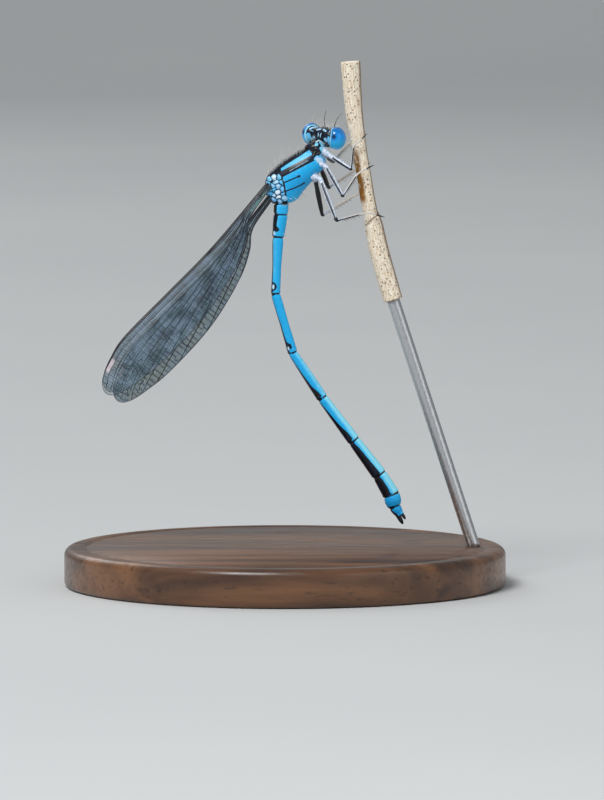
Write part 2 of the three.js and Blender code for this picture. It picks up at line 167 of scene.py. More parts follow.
def tubeRings(line, radii, sides):
    line = np.asarray(line, float)
    ahead = unit(np.gradient(line, axis=0))
    side = unit(np.cross(ahead[0], (0, 1, 0)))
    rings = []
    for centre, course, radius in zip(line, ahead, radii):
        side = unit(side - course * np.dot(side, course))
        rings.append(centre + radius * spokes(circle(sides), side, np.cross(course, side)))
    return np.array(rings)


def ball(name, centre, radii, turn=None, grid=(28, 18)):
    # turn is the rotation and the origin of the frame that centre and radii are given in
    across, down = grid
    theta, phi = np.linspace(0.02, math.pi - 0.02, down), circle(across)
    ring = np.stack([
        np.sin(theta)[:, None] * np.cos(phi), np.sin(theta)[:, None] * np.sin(phi),
        np.repeat(np.cos(theta)[:, None], across, 1),
    ], -1) * radii + centre
    if turn:
        ring = ring @ turn[0] + turn[1]
    return loft(name, ring)


def evaluated(thing):
    graph = bpy.context.evaluated_depsgraph_get()
    graph.update()
    mesh = bpy.data.meshes.new_from_object(
        thing.evaluated_get(graph), preserve_all_data_layers=True, depsgraph=graph)
    thing.modifiers.clear()
    old = thing.data
    thing.data = mesh
    bpy.data.meshes.remove(old)
    return thing


def joinedObjects(name, things):
    bpy.ops.object.select_all(action="DESELECT")
    for thing in things:
        thing.select_set(True)
    bpy.context.view_layer.objects.active = things[0]
    if len(things) > 1:
        bpy.ops.object.join()
    things[0].name = things[0].data.name = name
    return things[0]


def fused(thing, other):
    modifier = thing.modifiers.new("fuse", "BOOLEAN")
    modifier.object = other
    modifier.operation = "UNION"
    modifier.solver = "MANIFOLD"
    evaluated(thing)
    bpy.data.objects.remove(other)
    return thing


def finishPiece(thing, name, material, nodes=()):
    thing.data.transform(Matrix.Scale(metre, 4))
    thing.name = thing.data.name = name
    thing.data.materials.clear()
    thing.data.materials.append(material)
    thing.data.shade_smooth()
    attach(thing, "root")
    if nodes:
        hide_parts(*nodes)
    return thing


# Geometry node trees

def newTree(name, sizes):
    tree = bpy.data.node_groups.new(name, "GeometryNodeTree")
    tree.interface.new_socket("Geometry", in_out="OUTPUT", socket_type="NodeSocketGeometry")
    tree.interface.new_socket("Geometry", in_out="INPUT", socket_type="NodeSocketGeometry")
    for label, kind in sizes.items():
        tree.interface.new_socket(label, in_out="INPUT", socket_type="NodeSocket" + kind)
    return tree, tree.nodes.new("NodeGroupInput").outputs, tree.nodes.new("NodeGroupOutput").inputs


def grown(thing, tree, values):
    modifier = thing.modifiers.new(tree.name, "NODES")
    modifier.node_group = tree
    for item in tree.interface.items_tree:
        if item.in_out == "INPUT" and item.name in values:
            modifier[item.identifier] = values[item.name]
    return evaluated(thing)


def strandTree():
    # Edges with a thickness become round tubes: veins, spines and claws
    tree, given, out = newTree("sweptStrands", {"Sides": "Int", "Material": "Material"})
    thickness = addNode(tree, "GeometryNodeInputNamedAttribute", number, {"Name": "thickness"})
    curves = addNode(tree, "GeometryNodeMeshToCurve", {}, {"Mesh": given["Geometry"]})
    profile = addNode(tree, "GeometryNodeCurvePrimitiveCircle", {}, {
        "Resolution": given["Sides"], "Radius": 1.0})
    tubes = addNode(tree, "GeometryNodeCurveToMesh", {}, {
        "Curve": curves, "Profile Curve": profile, "Scale": thickness, "Fill Caps": True})
    real = addNode(tree, "GeometryNodeRealizeInstances", {}, {"Geometry": tubes})
    painted = addNode(tree, "GeometryNodeSetMaterial", {}, {"Geometry": real, "Material": given["Material"]})
    tree.links.new(painted, out["Geometry"])
    return tree


def hairTree():
    # Thin bent hairs on a surface, as many per square millimetre as its "hairs" value says
    tree, given, out = newTree("hairCoat", {
        "Radius": "Float", "Bend": "Float", "Spread": "Float", "Seed": "Int", "Material": "Material"})
    amount = addNode(tree, "GeometryNodeInputNamedAttribute", number, {"Name": "hairs"})
    length = addNode(tree, "GeometryNodeInputNamedAttribute", number, {"Name": "hairLength"})
    lie = addNode(tree, "GeometryNodeInputNamedAttribute", vector, {"Name": "lie"})
    spots = addNode(tree, "GeometryNodeDistributePointsOnFaces", {}, {
        "Mesh": given["Geometry"], "Density": amount, "Seed": given["Seed"]}, "Points")
    place = addNode(tree, "GeometryNodeInputPosition", {}, {})
    marked = addNode(tree, "GeometryNodeStoreNamedAttribute", vector, {
        "Geometry": spots, "Name": "rootPlace", "Value": place})
    hair = addNode(tree, "GeometryNodeMeshCone", {}, {
        "Vertices": 3, "Side Segments": 4, "Radius Top": 0.0, "Radius Bottom": given["Radius"], "Depth": 1.0})
    up = addNode(tree, "ShaderNodeSeparateXYZ", {}, {0: place}, "Z")
    curl = addNode(tree, mathNode, product, {0: up, 1: up})
    aside = addNode(tree, mathNode, product, {0: curl, 1: given["Bend"]})
    shift = addNode(tree, "ShaderNodeCombineXYZ", {}, {0: aside})
    bent = addNode(tree, "GeometryNodeSetPosition", {}, {"Geometry": hair, "Offset": shift})
    scatter = addNode(tree, "FunctionNodeRandomValue", vector, {
        0: (-1.0, -1.0, -1.0), 1: (1.0, 1.0, 1.0), "Seed": given["Seed"]})
    loose = addNode(tree, "ShaderNodeVectorMath", {"operation": "SCALE"}, {
        0: scatter, "Scale": given["Spread"]})
    course = addNode(tree, "ShaderNodeVectorMath", total, {0: lie, 1: loose})
    aligned = addNode(tree, "FunctionNodeAlignRotationToVector", {"axis": "Z"}, {"Vector": course})
    vary = addNode(tree, "FunctionNodeRandomValue", number, {
        2: 0.45, 3: 1.15, "Seed": given["Seed"]}, 1)
    tall = addNode(tree, mathNode, product, {0: vary, 1: length})
    scale = addNode(tree, "ShaderNodeCombineXYZ", {}, {0: 1.0, 1: 1.0, 2: tall})
    hairs = addNode(tree, "GeometryNodeInstanceOnPoints", {}, {
        "Points": marked, "Instance": bent, "Rotation": aligned, "Scale": scale})
    real = addNode(tree, "GeometryNodeRealizeInstances", {}, {"Geometry": hairs})
    painted = addNode(tree, "GeometryNodeSetMaterial", {}, {"Geometry": real, "Material": given["Material"]})
    tree.links.new(painted, out["Geometry"])
    return tree


strands = strandTree()
coat = hairTree()


def strandPiece(name, lines, sides, material):
    # lines is a list of points and their radii, or one radius for them all
    points, edges, radii = [], [], []
    for line, thickness in lines:
        start = len(points)
        points += [tuple(p) for p in line]
        radii += list(np.broadcast_to(thickness, len(line)))
        edges += [(start + i, start + i + 1) for i in range(len(line) - 1)]
    made = meshObject(name, points, [], edges)
    setValue(made, "thickness", radii)
    return grown(made, strands, {"Sides": sides, "Material": material})


# Materials. A colour Mix takes its share at socket 0 and its two colours at 6 and 7, and gives output 2

def newMaterial(name, settings, values=(), patterns=()):
    # values are painted on the piece's points; patterns are noises, given as feature size and detail
    # The sockets of both come back after the coordinates
    material = bpy.data.materials.new(name)
    material.use_nodes = True
    tree = material.node_tree
    tree.nodes.clear()
    surface = addNode(tree, "ShaderNodeBsdfPrincipled", {}, settings)
    addNode(tree, "ShaderNodeOutputMaterial", {}, {"Surface": surface})
    coords = addNode(tree, "ShaderNodeTexCoord", {}, {}, "Object")
    found = [addNode(tree, "ShaderNodeAttribute", {"attribute_name": value}, {}, "Fac") for value in values]
    found += [addNode(tree, noiseNode, {}, {"Vector": coords, "Scale": perMetre(size), "Detail": detail})
              for size, detail in patterns]
    return material, tree, surface.node.inputs, coords, *found


def clouded(name, settings, size, colours):
    # A finish whose colour drifts between two near shades
    material, tree, out, _, cloud = newMaterial(name, settings, (), ((size, 2.0),))
    first, second = [linear(colour) for colour in colours]
    addNode(tree, mixNode, colourMix, {0: cloud, 6: first, 7: second}, 2, out["Base Color"])
    return material


# Sizes and depths are millimetres in the dictionaries of looks; a pattern has its size and its detail
cuticle = {
    "deepBlue": "#0A74C8", "skyBlue": "#12AEEC", "paleBlue": "#86DDF5", "white": "#EEF4F4",
    "black": "#020309", "paintedSheen": "#0C1F3A", "mottle": (0.35, 4.0), "mottleRange": 0.17,
    "edgeNoise": (0.11, 2.0), "edgeDepth": 0.05, "sheenPatches": (0.25, 3.0), "grain": (0.035, 3.0),
    "grainDepth": 0.004,
}


def enamelledCuticle():
    # Waxy pigmented cuticle: satin sky blue, with glossier black markings and fine wrinkles; patches of
    # bluish sheen are painted into the black as reflections
    c = cuticle
    material, tree, out, _, tone, white, dark, mottle, ragged, sheenPatches, grain = newMaterial(
        "enamelled cuticle",
        {"IOR": 1.5, "Specular IOR Level": 0.35, "Coat Weight": 0.08, "Coat Roughness": 0.3},
        ("tone", "white", "dark"), (c["mottle"], c["edgeNoise"], c["sheenPatches"], c["grain"]))
    swing = addNode(tree, rangeNode, {}, {
        "Value": mottle, "To Min": -c["mottleRange"], "To Max": c["mottleRange"]})
    toned = addNode(tree, mathNode, total, {0: tone, 1: swing})
    middle = addNode(tree, rangeNode, softly, {"Value": toned, "From Max": 0.55})
    light = addNode(tree, rangeNode, softly, {"Value": toned, "From Min": 0.5, "From Max": 1.05})
    blue = linear(c["deepBlue"])
    for share, layer in ((middle, "skyBlue"), (light, "paleBlue"), (white, "white")):
        blue = addNode(tree, mixNode, colourMix, {0: share, 6: blue, 7: linear(c[layer])}, 2)
    edge = addNode(tree, rangeNode, {}, {
        "Value": ragged, "To Min": -c["edgeDepth"] / 2, "To Max": c["edgeDepth"] / 2})
    edge = addNode(tree, mathNode, total, {0: dark, 1: edge})
    darkness = addNode(tree, rangeNode, softly, {
        "Value": edge, "From Min": -0.012, "From Max": 0.02, "To Min": 1.0, "To Max": 0.0})
    # Painted reflection: noise lays patches of dark blue sheen over the black
    sheenPatches = addNode(tree, rangeNode, softly, {"Value": sheenPatches, "From Min": 0.4, "From Max": 0.75})
    black = addNode(tree, mixNode, colourMix, {0: sheenPatches, 6: linear(c["black"]), 7: linear(c["paintedSheen"])}, 2)
    addNode(tree, mixNode, colourMix, {0: darkness, 6: blue, 7: black}, 2, out["Base Color"])
    addNode(tree, rangeNode, {}, {"Value": darkness, "To Min": 0.42, "To Max": 0.28}, 0, out["Roughness"])
    addNode(tree, bumpNode, {}, {"Height": grain, "Distance": c["grainDepth"] * metre}, 0, out["Normal"])
    return material


eyeLook = {
    "blue": "#0094EC", "deep": "#006EB8", "cyan": "#14B2EC", "rim": "#93DCF4", "pupil": "#04123A",
    "facet": 0.05, "facetDepth": 0.006,
}


def compoundEye():
    # Faceted eye under a clear cornea: deep glossy blue, cyan below, with a dark false pupil
    c = eyeLook
    material, tree, out, coords, shade, rim, pupil = newMaterial("compound eye", {
        "Roughness": 0.3, "IOR": 1.5, "Specular IOR Level": 0.12, "Coat Weight": 0.8, "Coat Roughness": 0.05,
    }, ("shade", "rim", "pupil"))
    above = addNode(tree, rangeNode, softly, {"Value": shade, "From Max": 0.5})
    top = addNode(tree, rangeNode, softly, {"Value": shade, "From Min": 0.5})
    # Real facets are about 0.03 mm across; drawn a little coarser so that they show
    cells = addNode(tree, cellNode, {}, {"Vector": coords, "Scale": perMetre(c["facet"])}, "Distance")
    seam = addNode(tree, rangeNode, softly, {
        "Value": cells, "From Min": 0.2, "From Max": 0.8, "To Max": 0.2})
    colour = linear(c["cyan"])
    for share, layer in ((above, "blue"), (top, "deep"), (seam, "deep"), (rim, "rim"), (pupil, "pupil")):
        colour = addNode(tree, mixNode, colourMix, {0: share, 6: colour, 7: linear(c[layer])}, 2)
    tree.links.new(colour, out["Base Color"])
    addNode(tree, bumpNode, {}, {
        "Height": cells, "Distance": -c["facetDepth"] * metre, "Strength": 0.3}, 0, out["Normal"])
    return material


legPaint = {
    "pale": "#E2E9F3", "veil": "#9DB2D2", "horn": "#CDBFA9", "black": "#070A14", "speck": (0.12, 3.0),
    "edgeNoise": (0.1, 2.0), "edgeRange": 0.25, "grain": (0.04, 3.0), "grainDepth": 0.004,
}


def legCuticle():
    # Thin horny cuticle: lavender white with a black stripe, brown to black towards the claws
    c = legPaint
    material, tree, out, _, dark, horn, speck, ragged, grain = newMaterial("leg cuticle", {
        "Roughness": 0.38, "IOR": 1.52, "Specular IOR Level": 0.4, "Coat Weight": 0.1, "Coat Roughness": 0.25,
    }, ("dark", "horn"), (c["speck"], c["edgeNoise"], c["grain"]))
    speck = addNode(tree, rangeNode, softly, {"Value": speck, "From Min": 0.38, "From Max": 0.68})
    ragged = addNode(tree, rangeNode, {}, {
        "Value": ragged, "To Min": -c["edgeRange"], "To Max": c["edgeRange"]})
    edge = addNode(tree, mathNode, total, {0: dark, 1: ragged})
    edge = addNode(tree, rangeNode, softly, {"Value": edge, "From Min": 0.35, "From Max": 0.65})
    colour = linear(c["pale"])
    for share, layer in ((speck, "veil"), (horn, "horn"), (edge, "black")):
        colour = addNode(tree, mixNode, colourMix, {0: share, 6: colour, 7: linear(c[layer])}, 2)
    tree.links.new(colour, out["Base Color"])
    addNode(tree, bumpNode, {}, {"Height": grain, "Distance": c["grainDepth"] * metre}, 0, out["Normal"])
    return material


# The spot colour is the pterostigma's pale pink, a painted reflection
filmLook = {
    "smoke": "#46536B", "pearl": "#8798B3", "spot": "#D9CBD6", "cloud": (1.0, 5.0), "ripple": (0.5, 3.0),
    "rippleDepth": 0.02,
}


def wingMembrane():
    # Clear chitin film, slightly smoky, with a pearly gloss; the pterostigma is painted pale pink as a
    # reflection of light on it
    c = filmLook
    material, tree, out, _, spot, cloud, ripple = newMaterial("wing film", {
        "Roughness": 0.14, "IOR": 1.56, "Specular IOR Level": 0.7, "Thin Film Thickness": 380.0,
        "Thin Film IOR": 1.4}, ("spot",), (c["cloud"], c["ripple"]))
    pearly = addNode(tree, rangeNode, softly, {"Value": cloud, "From Min": 0.35, "From Max": 0.68})
    colour = linear(c["smoke"])
    for share, layer in ((pearly, "pearl"), (spot, "spot")):
        colour = addNode(tree, mixNode, colourMix, {0: share, 6: colour, 7: linear(c[layer])}, 2)
    tree.links.new(colour, out["Base Color"])
    haze = addNode(tree, rangeNode, softly, {
        "Value": cloud, "From Min": 0.32, "From Max": 0.7, "To Min": 0.24, "To Max": 0.4})
    addNode(tree, mathNode, {"operation": "MULTIPLY_ADD"}, {0: spot, 1: 0.6, 2: haze}, 0, out["Alpha"])
    addNode(tree, bumpNode, {}, {
        "Height": ripple, "Distance": c["rippleDepth"] * metre, "Strength": 0.6}, 0, out["Normal"])
    return material


stemLook = {
    "cream": "#F4ECD9", "tan": "#CDB08E", "speck": "#5F4433", "speckSize": 0.3, "speckZone": (1.3, 3.0),
    "blotch": (0.8, 4.0), "stain": "#8F5C12", "bruise": "#3F2810", "shadow": "#6A421C", "pith": "#EFE6D2",
    "fibreDepth": 0.05,
}


def dryStem():
    # Bleached dry grass stem: lengthwise fibres, brown specks and ochre stains
    c = stemLook
    material, tree, out, coords, stain, shadow, pith, zone, blotch = newMaterial("dry stem", {
        "Roughness": 0.72, "IOR": 1.45}, ("stain", "shadow", "pith"), (c["speckZone"], c["blotch"]))
    along = addNode(tree, "ShaderNodeUVMap", {"uv_map": "stemMap"}, {})
    stretched = addNode(tree, mapNode, {}, {"Vector": along, "Scale": (60.0, 1.6, 1.0)})
    fibre = addNode(tree, noiseNode, {}, {"Vector": stretched, "Scale": 1.0, "Detail": 5.0})
    layers = [(addNode(tree, rangeNode, softly, {"Value": fibre, "From Min": 0.38, "From Max": 0.72}), "tan")]
    zone = addNode(tree, rangeNode, softly, {"Value": zone, "From Min": 0.26, "From Max": 0.48})
    # Mould specks in two sizes, thicker in some places than in others
    for size, reach in ((c["speckSize"], 0.3), (c["speckSize"] * 0.55, 0.26)):
        speck = addNode(tree, cellNode, {}, {"Vector": coords, "Scale": perMetre(size)}, "Distance")
        speck = addNode(tree, rangeNode, softly, {
            "Value": speck, "From Min": reach * 0.5, "From Max": reach, "To Min": 0.9, "To Max": 0.0})
        layers.append((addNode(tree, mathNode, product, {0: speck, 1: zone}), "speck"))
    for low, high, layer in ((0.3, 0.5, "stain"), (0.55, 0.7, "bruise")):
        patch = addNode(tree, rangeNode, softly, {"Value": blotch, "From Min": low, "From Max": high})
        layers.append((addNode(tree, mathNode, product, {0: patch, 1: stain}), layer))
    colour = linear(c["cream"])
    for share, layer in layers + [(shadow, "shadow"), (pith, "pith")]:
        colour = addNode(tree, mixNode, colourMix, {0: share, 6: colour, 7: linear(c[layer])}, 2)
    tree.links.new(colour, out["Base Color"])
    addNode(tree, bumpNode, {}, {
        "Height": fibre, "Distance": c["fibreDepth"] * metre, "Strength": 0.9}, 0, out["Normal"])
    return material


steelLook = {"colour": "#C4C6C9", "scratch": 0.08, "scratchDepth": 0.006}


def brushedSteel():
    # Drawn stainless rod: fine scratches along it
    c = steelLook
    material, tree, out, coords = newMaterial("brushed steel", {
        "Metallic": 1.0, "Base Color": linear(c["colour"])})
    stretched = addNode(tree, mapNode, {}, {"Vector": coords, "Scale": (1.0, 1.0, 0.04)})
    scratch = addNode(tree, noiseNode, {}, {
        "Vector": stretched, "Scale": perMetre(c["scratch"]), "Detail": 4.0})
    addNode(tree, rangeNode, softly, {
        "Value": scratch, "From Min": 0.2, "From Max": 0.8, "To Min": 0.2, "To Max": 0.42,
    }, 0, out["Roughness"])
    addNode(tree, bumpNode, {}, {"Height": scratch, "Distance": c["scratchDepth"] * metre}, 0,
            out["Normal"])
    return material


walnutLook = {
    "dark": "#3C2415", "light": "#7A5233", "pore": "#1E110A", "band": 3.2, "poreSize": 0.35,
    "poreDepth": 0.03,
}


def oiledWalnut():
    # Turned and oiled walnut: growth bands across the disc, dark pores along the grain
    c = walnutLook
    material, tree, out, coords = newMaterial("oiled walnut", {
        "IOR": 1.5, "Coat Weight": 0.25, "Coat Roughness": 0.2})
    wavy = addNode(tree, mapNode, {}, {
        "Vector": coords, "Scale": (0.12, 1.0, 1.0), "Rotation": (0.0, 0.12, 0.3)})
    band = addNode(tree, noiseNode, {}, {
        "Vector": wavy, "Scale": perMetre(c["band"]), "Detail": 5.0, "Distortion": 0.6})
    band = addNode(tree, rangeNode, softly, {"Value": band, "From Min": 0.3, "From Max": 0.7})
    colour = addNode(tree, mixNode, colourMix, {0: band, 6: linear(c["dark"]), 7: linear(c["light"])}, 2)
    pore = addNode(tree, noiseNode, {}, {"Vector": wavy, "Scale": perMetre(c["poreSize"]), "Detail": 2.0})
    dots = addNode(tree, rangeNode, softly, {
        "Value": pore, "From Min": 0.58, "From Max": 0.74, "To Max": 0.6})
    addNode(tree, mixNode, colourMix, {0: dots, 6: colour, 7: linear(c["pore"])}, 2, out["Base Color"])
    addNode(tree, rangeNode, softly, {
        "Value": pore, "From Min": 0.3, "From Max": 0.7, "To Min": 0.3, "To Max": 0.46}, 0, out["Roughness"])
    addNode(tree, bumpNode, {}, {
        "Height": pore, "Distance": -c["poreDepth"] * metre, "Strength": 0.5}, 0, out["Normal"])
    return material


finishes = {
    "cuticle": enamelledCuticle(), "eye": compoundEye(), "leg": legCuticle(), "film": wingMembrane(),
    "stem": dryStem(), "steel": brushedSteel(), "walnut": oiledWalnut(),
    # Hard black chitin of spines, claws and wing veins
    "horn": clouded("black horn", {"Roughness": 0.32, "IOR": 1.54, "Coat Weight": 0.1}, 0.3,
                    ("#0A0B0F", "#23222A")),
    # Fine pale hairs that catch the light
    "hair": clouded("pale hair", {"Roughness": 0.45, "IOR": 1.5, "Sheen Weight": 0.3}, 0.6,
                    ("#FBFAF4", "#D8D3C8")),
}
print("materials made")

# Body: thorax, neck shield and abdomen share one skin

body = {
    # back edge x, z, belly edge x, z, half width
    "thorax": [
        (1.58, 33.75, 2.88, 33.15, 0.62), (1.15, 33.56, 3.15, 32.77, 0.82), (0.54, 33.22, 3.05, 32.31, 0.98),
        (-0.14, 32.76, 2.62, 31.81, 1.08), (-0.74, 32.24, 2.19, 31.31, 1.1),
        (-1.28, 31.64, 1.74, 30.83, 1.06), (-1.5, 30.86, 1.28, 30.25, 0.96), (-1.36, 30.04, 0.92, 29.77, 0.8),
        (-0.9, 29.45, 0.36, 29.5, 0.6),
    ],
    "neckShield": [
        (2.08, 34.25, 2.98, 34.02, 0.5), (1.77, 34.13, 3.08, 33.76, 0.64), (1.52, 33.88, 2.95, 33.46, 0.66),
        (1.5, 33.5, 2.8, 33.2, 0.55),
    ],
    "neck": [(2.3, 0, 33.7), (2.9, 0.05, 34.7)],
    "keel": 0.05, "keelWidth": 0.07, "pinch": 0.22, "swell": 0.1, "voxel": 0.036, "quickVoxel": 0.05,
}
abdomen = {
    "joints": [
        (-0.27, 29.35), (-0.31, 28.62), (-0.52, 26.86), (-0.71, 22.48), (0.62, 17.94), (2.91, 14.46),
        (5.33, 11.18), (7.29, 8.55), (8.23, 6.98), (8.46, 6.08), (8.85, 5.46),
    ],
    # radii at the front, middle and rear of each segment
    "radii": [
        (0.58, 0.57, 0.55), (0.55, 0.52, 0.47), (0.43, 0.35, 0.36), (0.37, 0.35, 0.38), (0.37, 0.41, 0.43),
        (0.42, 0.46, 0.49), (0.49, 0.53, 0.575), (0.58, 0.62, 0.65), (0.65, 0.66, 0.54), (0.46, 0.42, 0.34),
    ],
    "sides": 48, "step": 0.09, "groove": 0.05, "grooveWidth": 0.09,
    # height, place before the joint and width of the swelling at each segment's end
    "collar": (0.02, 0.2, 0.1),
    # depth and width of the fold along the belly, then height, place and width of its two lips
    "fold": (0.09, 0.22, 0.035, 0.5, 0.14),
    # how far from a joint and how strongly the rings lean towards the next segment
    "lean": (0.15, 3),
}
head = {
    "middle": (3.0, 0.2, 34.63), "right": (0.76, -0.63, -0.095), "face": (0.651, 0.717, 0.255),
    "spacing": 2.45, "eye": (0.73, 0.78, 0.89), "eyeAxis": (0.8, 0.55, -0.22), "eyeEnd": 130,
    # direction of the dark false pupil, its small shift, and the angles between which it fades out
    "pupil": ((0.62, -0.695, 0.348), (-0.22, -0.08, 0.1)), "pupilFade": (0.1, 0.36),
    # centre and radii along right, face and crown
    "lobe": ((1.2, -0.02, 0.0), (0.66, 0.71, 0.83)),
    "shapes": [
        ((0, 0.02, 0.05), (1.35, 0.6, 0.6)), ((0, 0.5, 0.1), (0.66, 0.42, 0.44)),
        ((0, 0.68, -0.28), (0.52, 0.32, 0.3)), ((0, 0.6, -0.58), (0.46, 0.3, 0.2)),
        ((0, 0.3, -0.72), (0.46, 0.46, 0.22)), ((0.3, 0.32, -0.62), (0.26, 0.42, 0.26)),
        ((-0.3, 0.32, -0.62), (0.26, 0.42, 0.26)),
    ],
    "simpleEyes": [(0, 0.5, 0.53), (-0.22, 0.28, 0.6), (0.22, 0.28, 0.6)], "simpleEye": (0.1, 0.1, 0.1),
}
headRight = unit(head["right"])
headFace = unit(head["face"])
headCrown = unit(np.cross(headRight, headFace))
headFace = np.cross(headCrown, headRight)
headTurn = (np.array([headRight, headFace, headCrown]), np.array(head["middle"]))

joints = np.array([(x, 0, z) for x, z in abdomen["joints"]], float)
courses = unit(np.diff(joints, axis=0))
lengths = np.linalg.norm(np.diff(joints, axis=0), axis=1)


def bodyRing(back, belly, half, sides, keel=0.0):
    centre = (back + belly) / 2
    up = back - centre
    turn = circle(sides)
    rise, side = np.cos(turn), np.sin(turn)
    pinch = 1 - body["pinch"] * np.maximum(0, rise)
    swell = 1 + body["swell"] * np.abs(side * rise)
    offTop = np.minimum(turn, 2 * math.pi - turn)
    ridge = 1 + keel / np.linalg.norm(up) * np.exp(-(offTop / body["keelWidth"]) ** 2)
    return centre + (rise * swell * ridge)[:, None] * up + np.outer(side * half * pinch * swell, (0, 1, 0))


def bodyLoft(name, sections, rows, sides, keel=0.0):
    return loft(name, [
        bodyRing(np.array([bx, 0, bz]), np.array([vx, 0, vz]), half, sides, keel)
        for bx, bz, vx, vz, half in smoothLine(sections, rows)
    ])


def abdomenRings():
    turn = circle(abdomen["sides"])
    groove, grooveWidth = abdomen["groove"], abdomen["grooveWidth"]
    collar, collarPlace, collarWidth = abdomen["collar"]
    depth, width, lip, lipPlace, lipWidth = abdomen["fold"]
    leanReach, lean = abdomen["lean"]
    fold = 1 - depth * np.exp(-((turn - math.pi) / width) ** 2)
    fold += lip * np.exp(-((np.abs(turn - math.pi) - lipPlace) / lipWidth) ** 2)
    rings = []
    for rise in np.linspace(0.8, 0.1, 8):  # a short waist inside the thorax
        centre = joints[0] - courses[0] * rise + np.array([0.2 * rise, 0, 0])
        radius = abdomen["radii"][0][0] * (0.75 + 0.2 * rise)
        rings.append(centre + radius * spokes(turn, (-1, 0, 0)))
    for k, (front, middle, rear) in enumerate(abdomen["radii"]):
        steps = max(6, int(lengths[k] / abdomen["step"]))
        for f in np.linspace(0, 1, steps, endpoint=k == 9):
            at = f * lengths[k]
            left = lengths[k] - at
            before = courses[max(0, k - 1)] + courses[k]
            after = courses[k] + courses[min(9, k + 1)]
            course = unit(courses[k] + unit(before) * math.exp(-at / leanReach) * lean
                          + unit(after) * math.exp(-left / leanReach) * lean)
            radius = np.interp(f, [0, 0.12, 0.5, 0.86, 1], [front * 0.97, front, middle, rear, rear * 0.98])
            if k < 9:
                radius -= groove * math.exp(-(left / grooveWidth) ** 2)
                radius += collar * math.exp(-((left - collarPlace) / collarWidth) ** 2)
            if k:
                radius -= groove * math.exp(-(at / grooveWidth) ** 2)
            dorsal = np.array([course[2], 0, -course[0]])
            rings.append(joints[k] + courses[k] * at + radius * fold[:, None] * spokes(turn, dorsal))
    return rings


# Marks are placed as seen from 5 degrees above, where a flank stands this much lower per millimetre outwards
viewSlope = 0.087
# Leg bases that swell the thorax: x, distance from the plane of symmetry, z, radius
coxae = [(2.62, 0.36, 33.62, 0.34), (1.98, 0.5, 32.85, 0.38), (1.72, 0.5, 31.72, 0.36)]
# Rounded plates at the wing bases
wingPlates = [
    # x and z as for marks, radius, and whiteness, which is a painted highlight on the plate
    (-1.19, 31.37, 0.14, 0.2), (-0.81, 31.44, 0.19, 0.8), (-0.69, 31.08, 0.17, 0.5),
    (-1.28, 31.0, 0.13, 0.1), (-0.92, 30.79, 0.15, 0.3), (-0.48, 30.79, 0.19, 0.45),
    (-0.2, 31.05, 0.21, 0.1), (-0.14, 30.54, 0.22, 0.15), (-1.15, 30.23, 0.15, 0.1),
    (-0.55, 30.28, 0.2, 0.8), (-1.27, 29.95, 0.12, 0.2), (-0.87, 29.8, 0.15, 0.3),
    (-0.48, 29.96, 0.15, 0.9), (-0.38, 29.66, 0.15, 0.35), (-0.06, 29.9, 0.2, 0.4),
    (-0.85, 30.5, 0.13, 0.1), (-0.5, 31.48, 0.14, 0.15), (-0.82, 30.05, 0.12, 0.6),
    (-0.1, 30.2, 0.15, 0.2), (-1.05, 30.5, 0.1, 0.2),
]


def sideReach(x, z):
    # Half width of the thorax at a place in its plane of symmetry
    line = smoothLine(body["thorax"], 90)
    across = line[:, 2:4] - line[:, 0:2]
    t = np.clip(((np.array([x, z]) - line[:, 0:2]) * across).sum(1) / (across ** 2).sum(1), 0.03, 0.97)
    nearest = np.linalg.norm(line[:, 0:2] + t[:, None] * across - [x, z], axis=1).argmin()
    return line[nearest, 4] * math.sqrt(1 - (2 * t[nearest] - 1) ** 2)


def frontSkin():
    parts = [
        bodyLoft("thorax", body["thorax"], 90, 96, body["keel"]),
        bodyLoft("shield", body["neckShield"], 40, 72),
        loft("neck", tubeRings(np.linspace(*body["neck"], 12), np.full(12, 0.3), 24)),
    ]
    for side in (-1, 1):
        (x, y, z), radii = head["lobe"]
        parts.append(ball("lobe", (side * x, y, z), radii, headTurn, (48, 32)))
        for x, out, z, radius in coxae:
            parts.append(ball("coxa", (x, side * out, z), (radius, radius, radius * 1.1)))
        for x, z, radius, _ in wingPlates:
            out = sideReach(x, z) * 0.96 - radius * 0.45  # sunk by nearly half
            parts.append(ball("plate", (x, side * out, z + viewSlope * out), (radius, radius, radius)))
    for centre, radii in head["shapes"]:
        parts.append(ball("head", centre, radii, headTurn, (40, 26)))
    for centre in head["simpleEyes"]:
        parts.append(ball("ocellus", centre, head["simpleEye"], headTurn))
    made = joinedObjects("front", parts)
    modifier = made.modifiers.new("one surface", "REMESH")
    modifier.mode = "VOXEL"
    modifier.voxel_size = body["voxel"]
    evaluated(made)
    modifier = made.modifiers.new("soften", "SMOOTH")
    modifier.iterations = 5
    return evaluated(made)


def capsule(points, line, half):
    # Signed distance to a bent stroke, negative inside it
    best = np.full(len(points), 1e3)
    for a, b in zip(line[:-1], line[1:]):
        a, b = np.array(a), np.array(b)
        t = np.clip(((points - a) @ (b - a)) / max((b - a) @ (b - a), 1e-9), 0, 1)
        best = np.minimum(best, np.linalg.norm(points - a - t[:, None] * (b - a), axis=1))
    return best - half


